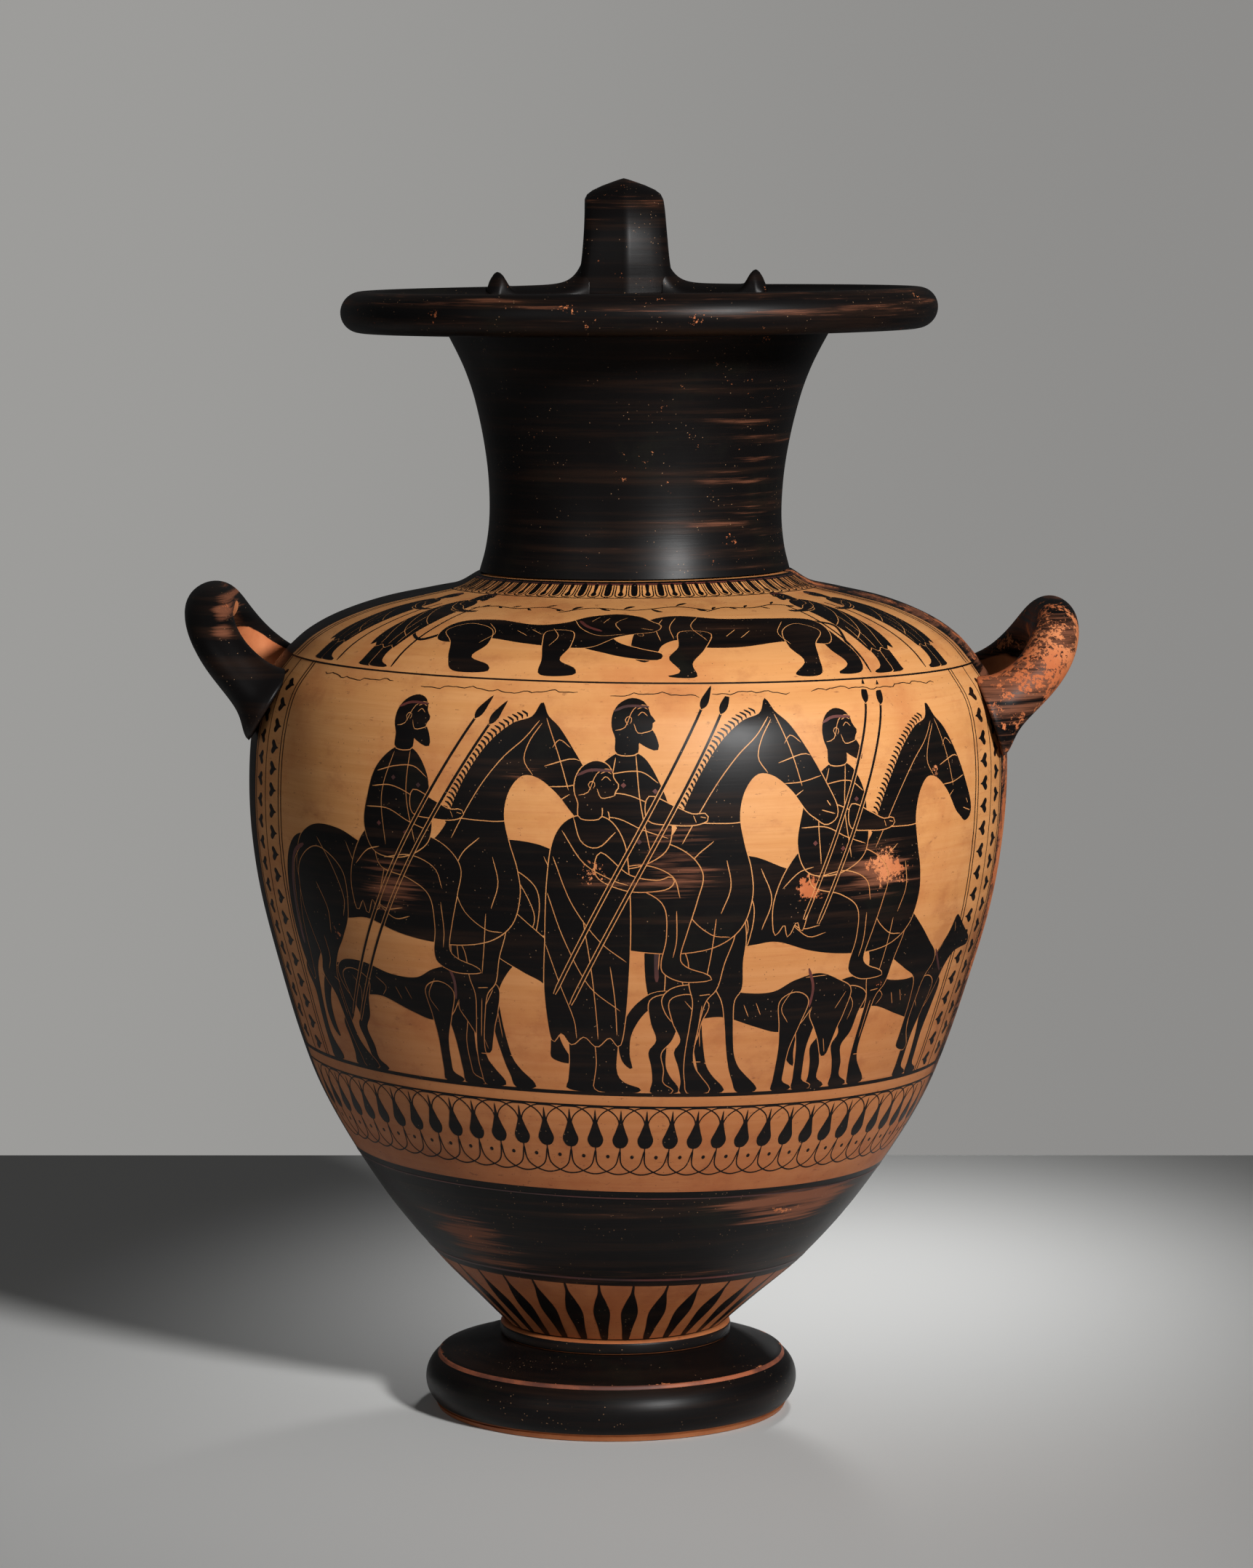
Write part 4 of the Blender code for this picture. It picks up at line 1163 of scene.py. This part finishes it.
def draw_standing(figure, beard=True):
    """A man on foot in a long draped cloak, a staff in his hand."""
    figure.solid([(-9, 4), (-10, 1.5), (-5, 0), (10, 0), (12, 1.8), (5, 4.5), (3, 10), (2, 26), (-7, 26),
        (-8, 12)])
    figure.solid([(2, 4), (2, 1.5), (6, 0), (19, 0), (21, 1.8), (14, 4.5), (11, 10), (11, 26), (3, 26),
        (3, 12)])
    figure.solid([(-8, 108), (-13, 100), (-15, 84), (-16, 62), (-17, 40), (-15, 21), (-11, 24), (-7, 19.5),
        (-2, 23), (3, 19), (8, 23), (12, 19.5), (14, 30), (15, 50), (15, 70), (14, 88), (12, 100), (7, 108),
        (0, 110)])
    draw_head(figure, 0.5, 116, beard)
    figure.solid([(4, 96), (14, 88), (24, 86), (29, 87.5), (30, 85), (26, 82.5), (14, 82), (3, 87)])
    figure.cut([(-10, 104), (-2, 92), (8, 86), (14, 84)], [(-13, 94), (-6, 76), (4, 62), (14, 54)],
        [(-15, 80), (-9, 62), (0, 44), (12, 34)], [(-16, 60), (-11, 44), (-6, 30), (-5, 22)],
        [(-2, 70), (1, 50), (3, 30), (3.5, 22)], [(8, 52), (10, 38), (11, 24)],
        [(-6, 109), (-3, 100), (3, 98), (9, 104)])


HOUND = [(2, 31), (6, 35.5), (16, 36), (27, 33.5), (37, 33.5), (44, 37), (49, 42), (53, 47), (55.5, 51.5),
    (58.5, 50), (62, 47.5), (67, 44.5), (70, 42.5), (69.5, 40.5), (64, 40), (59, 39), (55, 35), (52, 28),
    (48, 22), (41, 20), (33, 22), (22, 25.5), (14, 25), (6, 24)]
HOUND_HIND = [(14, 30), (12, 24), (10.5, 18), (7.5, 13.5), (9, 8), (9.5, 3.5), (13, 1.2), (12.5, 0), (6, 0),
    (6, 4), (5, 9), (3.5, 14), (5.5, 18), (3, 24), (2, 31), (8, 33)]
HOUND_FORE = [(52, 30), (50.5, 22), (48.5, 14), (48.5, 6), (49, 3), (52.5, 1.2), (52, 0), (45.5, 0),
    (45.2, 4), (44.8, 14), (43.5, 22), (42, 30), (47, 33)]


def draw_hound(figure, down=False):
    """A lean hound pacing; down lowers its head to the ground."""
    def bent(points):
        points = np.array(points, float)
        if down:
            reach = np.clip((points[:, 0] - 44) / 14, 0, 1) * (points[:, 1] > 31)
            a = -1.25 * reach
            p = points - [44, 33]
            turned_points = np.stack([p[:, 0] * np.cos(a) - p[:, 1] * np.sin(a), p[:, 0] * np.sin(a)
                + p[:, 1] * np.cos(a)], 1) + [44, 33]
            points = turned_points
        return points
    figure.solid([(4, 34), (-2, 33), (-8, 27), (-11, 18), (-10, 11), (-6.5, 8), (-7.5, 13), (-7, 20),
        (-3, 27), (3, 31)], rim=0.3)
    figure.solid(HOUND_HIND, bend=-6)
    figure.solid(HOUND_FORE, bend=5)
    figure.solid(bent(HOUND))
    figure.solid(HOUND_HIND, bend=4)
    figure.solid(HOUND_FORE, bend=-3)
    head = bent([(61, 46.2), (60, 44.5), (50.5, 43.5), (46.5, 38.5), (55.3, 49.5), (56.8, 45.8), (64, 42),
        (69, 42)])
    figure.ring(head[1][0], head[1][1], 0.8, 0.3)
    figure.cut([head[4], head[5]], [head[6], head[7]], [head[2], head[3]], width=0.34)
    figure.cut([(44, 34), (41, 28), (44, 23)], [(20, 32), (24, 29), (22, 26)], [(28, 29.5), (30, 25.5)],
        [(32, 30), (34, 26)], [(9, 31), (12, 27), (11, 22)], width=0.34)
    figure.line(bent([(46.5, 41.5), (49.5, 37.5), (52.5, 34)]), 1.1, RED)


def draw_lion(figure):
    """A lion crouched low, one paw out, its tail up."""
    figure.line([(-25, 17), (-33, 12), (-38, 17), (-37, 26), (-32, 30)], 1.5, rim=0.3)
    figure.solid([(-37, 25), (-34, 26), (-30, 31), (-31, 34), (-35, 31)], rim=0)
    figure.solid([(20, 20), (27, 14), (34, 11), (40, 9), (40, 6.5), (33, 7), (25, 9), (16, 13)])
    figure.solid([(-27, 20), (-22, 25), (-12, 26.5), (0, 24), (8, 26), (13, 31), (20, 33.5), (27, 31),
        (31, 27.5), (35, 24), (34.5, 20.5), (29, 19), (25, 17), (20, 12), (12, 11.5), (0, 13), (-12, 15),
        (-20, 12), (-27, 13)])
    figure.solid([(-12, 20), (-10, 12), (-13, 6), (-7, 3.2), (-7, 0.6), (-17, 0.4), (-20, 5), (-22, 12),
        (-26, 18), (-20, 23)])
    figure.solid([(12, 20), (14, 12), (13, 6), (18, 3), (18, 0.6), (9, 0.4), (8, 6), (6, 13), (5, 20)])
    figure.cut([(10, 28), (14, 22), (20, 18), (27, 19)], [(24, 31), (22, 26), (25, 21)],
        [(16, 31), (15, 27)], [(19, 30), (18.5, 26)], [(34, 21.5), (30, 22.5)],
        [(-14, 24), (-10, 18), (-13, 12)], [(-4, 20), (0, 17)], [(0, 21), (4, 18)],
        [(6, 22), (9, 17), (8, 12)], width=0.36)
    figure.ring(29.2, 26.4, 0.85, 0.3)
    figure.line([(11.5, 27.5), (15, 23.5), (20, 20.5)], 1.3, RED)


def draw_bull(figure):
    """A bull with its head down and its near foreleg bent."""
    figure.line([(-27, 24), (-33, 20), (-33, 10), (-36, 5)], 1.3, rim=0.3)
    figure.solid([(-24, 16), (-26, 9), (-30, 3.4), (-26, 0.4), (-34, 0.4), (-35, 5), (-31, 14), (-28, 20)])
    figure.solid([(-29, 19), (-25, 25.5), (-12, 27.5), (2, 28.5), (12, 31.5), (19, 30), (25, 25), (29, 19),
        (32, 12), (33, 7.5), (30, 5.5), (26.5, 8), (23, 13), (18, 15.5), (14, 12), (2, 11.5), (-12, 13.5),
        (-20, 12.5), (-27, 12)])
    figure.solid([(-14, 19), (-13, 11), (-16, 5), (-12, 0.5), (-20, 0.3), (-21, 6), (-22, 12), (-26, 18),
        (-20, 23)])
    figure.solid([(16, 20), (19, 12), (23, 7), (21, 2.2), (25, 0.5), (17, 0.3), (17, 5), (12, 11), (8, 19)])
    figure.line([(24, 25.5), (30, 29.5), (36, 28), (38, 24)], 1.5, rim=0.3)
    figure.cut([(8, 30), (12, 23), (10, 15)], [(14, 30), (18, 23), (19, 16)],
        [(18, 29), (22, 22), (23, 15)], [(-16, 25), (-12, 18), (-14, 12)], [(-4, 20), (0, 16)],
        [(0, 21), (4, 17)], [(31.5, 9), (29.5, 8)], width=0.36)
    figure.ring(27.4, 18.6, 0.85, 0.3)


def draw_vine(figure):
    """A bare spray with small leaves, to fill the field."""
    figure.line([(-22, -2), (-12, 3), (0, 1), (12, 4), (22, 0)], 0.6)
    for x, y, way in ((-18, 1, 1), (-10, 3.5, -1), (-3, 1.8, 1), (5, 2, -1), (12, 4.5, 1), (18, 2.2, -1)):
        figure.solid([(x, y), (x + 1.6, y + 1.2 * way), (x + 3.4, y + 3.0 * way), (x + 1.2, y + 2.6 * way)],
            rim=0)


def paint_picture():
    """Three riders pace to the right with hounds and a man on foot, all stock figures."""
    base = BODY_WALL.at_height(GROUND)
    top = (BODY_WALL.s[-1] - base) * 1000
    painting = []

    def add(draw, at, size=1.0, flip=False, **choices):
        figure = Figure(np.array(at, float), size, flip)
        draw(figure, **choices)
        painting.extend(figure.painting)

    g = 0.9
    add(draw_hound, (80, g), 1.25)
    add(draw_horse, (12, g), 0.965, lifted=True, stride=2.0)
    add(draw_rider, (12, g), 0.965, lean=1.0)
    add(draw_hound, (12, g), 1.22, down=True)
    add(draw_horse, (-66, g), 1.0, lifted=False, stride=3.0)
    add(draw_rider, (-66, g), 1.0, lean=-1.0)
    add(draw_hound, (-128, g), 1.22, down=True)
    add(draw_horse, (-147, g), 0.985, lifted=True, stride=-1.0)
    add(draw_rider, (-151, g), 0.985, lean=1.5)
    add(draw_standing, (-13, g), 0.98)
    spears = Figure(np.array([0.0, 0.0]))
    for low, high in (((-122, 22), (-52, 152)), ((-118, 20), (-46, 150)), ((-26, 40), (30, 158)),
            ((-20, 36), (37, 156)), ((66, 70), (96, 159)), ((72, 68), (103, 158))):
        spears.spear(low, high)
    painting.extend(spears.painting)
    for x0, x1, y in ((-140, -96, top - 4.4), (-84, -20, top - 5.0), (-8, 26, top - 5.2),
            (30, 62, top - 4.6), (70, 138, top - 4.0)):
        x = np.arange(x0, x1, 2.2)
        wander = 0.45 * np.sin(x * 1.7) + 0.5 * np.sin(x * 0.61 + 1) + 0.8 * np.sin(x * 0.17)
        painting.append((BARE_CLAY, stroke(np.stack([x, y + wander], 1), 2.4)))
        painting.append((BLACK, stroke(np.stack([x, y + wander * 0.8 - 0.2], 1), 0.34)))
    painting.append((BLACK, band_line(top - 0.75, top - 0.05, FRONT)))
    piece = lay_paint("figure_frieze", painting, body_plane(base))
    weigh(piece, "thin_slip_and_sheen", lambda t, x, y, z: 0.95 * near(t, -36, 9) * near(z, 0.222, 0.020)
        + 0.95 * near(t, 7, 10) * near(z, 0.232, 0.022) + 0.85 * near(t, 38, 9) * near(z, 0.225, 0.020)
        + 0.6 * near(t, -14, 6) * near(z, 0.262, 0.014))
    weigh(piece, "wear", lambda t, x, y, z: 0.22 * near(t, 50, 10) + 0.50 * near(t, -5, 3.0) * near(z,
        0.230, 0.008) + 0.56 * near(t, 28, 3.2) * near(z, 0.222, 0.008) + 0.50 * near(t, 41, 4.0) * near(z,
        0.228, 0.010) + 0.4 * near(t, -50, 4) * near(z, 0.20, 0.012))
    return piece


def paint_shoulder_picture():
    """A lion and a bull face each other between draped men leaning on staffs."""
    top = SHOULDER_WALL.s[-1] * 1000 - 12.6
    painting = []

    def add(draw, x, y, size, flip=False, **choices):
        figure = Figure(np.array([0.0, y]), size, flip)
        draw(figure, **choices)
        for paint, outline in figure.painting:
            narrowed = outline[:, 0] * SHOULDER_SPREAD / 1000 / SHOULDER_WALL.radius(np.clip(outline[:, 1],
                0, top) / 1000)
            painting.append((paint, np.stack([x + narrowed, outline[:, 1]], 1)))

    add(draw_bull, 35, 2.0, 1.34, True)
    add(draw_lion, -35, 2.0, 1.34)
    add(draw_standing, 83, 1.5, 0.52, True)
    add(draw_standing, 108, 1.5, 0.50, True, beard=False)
    add(draw_standing, -84, 1.5, 0.52)
    add(draw_standing, -109, 1.5, 0.50, beard=False)
    add(draw_vine, 0, 51, 1.3)
    add(draw_vine, 52, 51, 0.9)
    add(draw_vine, -52, 51, 0.9)
    for x, lean in ((73, -3), (98, -3), (-74, 3), (-99, 3)):
        painting.append((BLACK, stroke([(x, 2), (x + lean * 0.5, 28), (x + lean * 0.8, 52)], 0.7, 3.0)))
    for side in (-1, 1):
        for share in (0.975, 0.955):
            edge = FRONT * SHOULDER_SPREAD * share * side
            painting.append((BLACK, stroke([(edge, 0.3), (edge, 30), (edge, top + 1.0)], 0.6, 3.0)))
    piece = lay_paint("shoulder_picture", painting, shoulder_plane())
    # Brown thin-slip streaks in the shoulder figures at turn -40 and turn 20 are also painted sheen where light
    # glances off the shoulder.
    weigh(piece, "thin_slip_and_sheen", lambda t, x, y, z: 0.35 * near(t, 20, 20) + 0.4 * near(t, -40, 12))
    return piece


# ---- light, floor and camera ----------------------------------------------------------------------


def build_floor():
    """A level table, wider than the view, that ends half a metre behind the jar."""
    x, y = np.meshgrid([-3.0, 3.0], [-3.0, 0.53])
    points = np.stack([x.ravel(), y.ravel(), np.zeros(4)], 1)
    material = bpy.data.materials.new("pale_table")
    material.use_nodes = True
    shader = material.node_tree.nodes["Principled BSDF"]
    shader.inputs["Base Color"].default_value = (0.55, 0.55, 0.54, 1)
    shader.inputs["Roughness"].default_value = 0.75
    floor = make_mesh("table", points, [[0, 1, 3, 2]], [material], smooth=False)


def add_lamp(name, place, target, size, power, colour=(1, 1, 1)):
    lamp = bpy.data.lights.new(name, "AREA")
    lamp.shape = "RECTANGLE"
    lamp.size, lamp.size_y = size
    lamp.energy = power
    lamp.color = colour
    holder = bpy.data.objects.new(name, lamp)
    holder.location = place
    holder.rotation_euler = (Vector(target) - Vector(place)).to_track_quat("-Z", "Y").to_euler()
    bpy.context.scene.collection.objects.link(holder)


def add_spot(name, place, target, angle, power, radius):
    """A round lamp with a soft-edged cone, angle degrees wide."""
    lamp = bpy.data.lights.new(name, "SPOT")
    lamp.spot_size, lamp.spot_blend = math.radians(angle), 1.0
    lamp.shadow_soft_size = radius
    lamp.energy = power
    holder = bpy.data.objects.new(name, lamp)
    holder.location = place
    holder.rotation_euler = (Vector(target) - Vector(place)).to_track_quat("-Z", "Y").to_euler()
    bpy.context.scene.collection.objects.link(holder)


def build_studio():
    """A key from the right front, a weak fill from the left, and a pool of light behind on the table.

    The wall is a grey that only the view sees, with painted shading: lighter on the left, darker on the right.
    """
    build_floor()
    add_spot("key", (1.16, -1.89, 1.12), (-0.24, 0.22, 0.19), 34, 328, 0.16)
    add_spot("pool", (0.38, 1.25, 1.20), (0.08, 0.22, 0.0), 18, 88, 0.12)
    add_lamp("fill", (-1.50, -1.80, 0.90), (0, 0, 0.25), (1.2, 1.2), 5)
    world = bpy.data.worlds.new("studio")
    bpy.context.scene.world = world
    world.use_nodes = True
    work = Nodes(world.node_tree)
    back = world.node_tree.nodes["Background"]
    seen = work.add("ShaderNodeLightPath")
    view = work.math("MAXIMUM", seen.outputs["Is Camera Ray"], seen.outputs["Is Transmission Ray"])
    split = work.add("ShaderNodeSeparateXYZ")
    work.link(work.add("ShaderNodeTexCoord").outputs["Generated"], split.inputs[0])
    # Painted shading on the wall: lighter to the left, darker to the right.
    wall = work.mix(work.step(split.outputs[0], -0.13, 0.13), (0.338, 0.334, 0.324, 1),
        (0.266, 0.262, 0.255, 1))
    work.link(work.mix(view, (0.055, 0.055, 0.055, 1), wall), back.inputs["Color"])
    back.inputs["Strength"].default_value = 1.0


def build_camera():
    camera = bpy.data.cameras.new("view")
    camera.sensor_fit = "VERTICAL"
    camera.sensor_height = 36.0
    camera.lens = 118.3
    holder = bpy.data.objects.new("view", camera)
    holder.location = (-0.0022, -2.0, 0.4708)
    holder.rotation_euler = (math.radians(90 - 6.42), 0, 0)
    bpy.context.scene.collection.objects.link(holder)
    bpy.context.scene.camera = holder


# ---- making ---------------------------------------------------------------------------------------

build_camera()
build_studio()
build_body()
build_shoulder()
build_neck()
build_mouth()
build_foot()
build_fillet()
build_side_handle("loop_handle_left", -1, [(0.1375, 0.2815), (0.1575, 0.2930), (0.1643, 0.3150)],
    "side_handle_left")
build_side_handle("loop_handle_right", 1, [(0.1375, 0.2815), (0.1570, 0.2895), (0.1634, 0.3080)],
    "side_handle_right")
build_back_handle()
build_arm("mouth_arm_left", 1, "handle_arm_left")
build_arm("mouth_arm_right", -1, "handle_arm_right")
paint_tongues()
paint_ivy(-1)
paint_ivy(1)
paint_buds()
paint_rays()
paint_zone_lines()
paint_picture()
paint_shoulder_picture()
bpy.context.scene.view_settings.view_transform = "Standard"
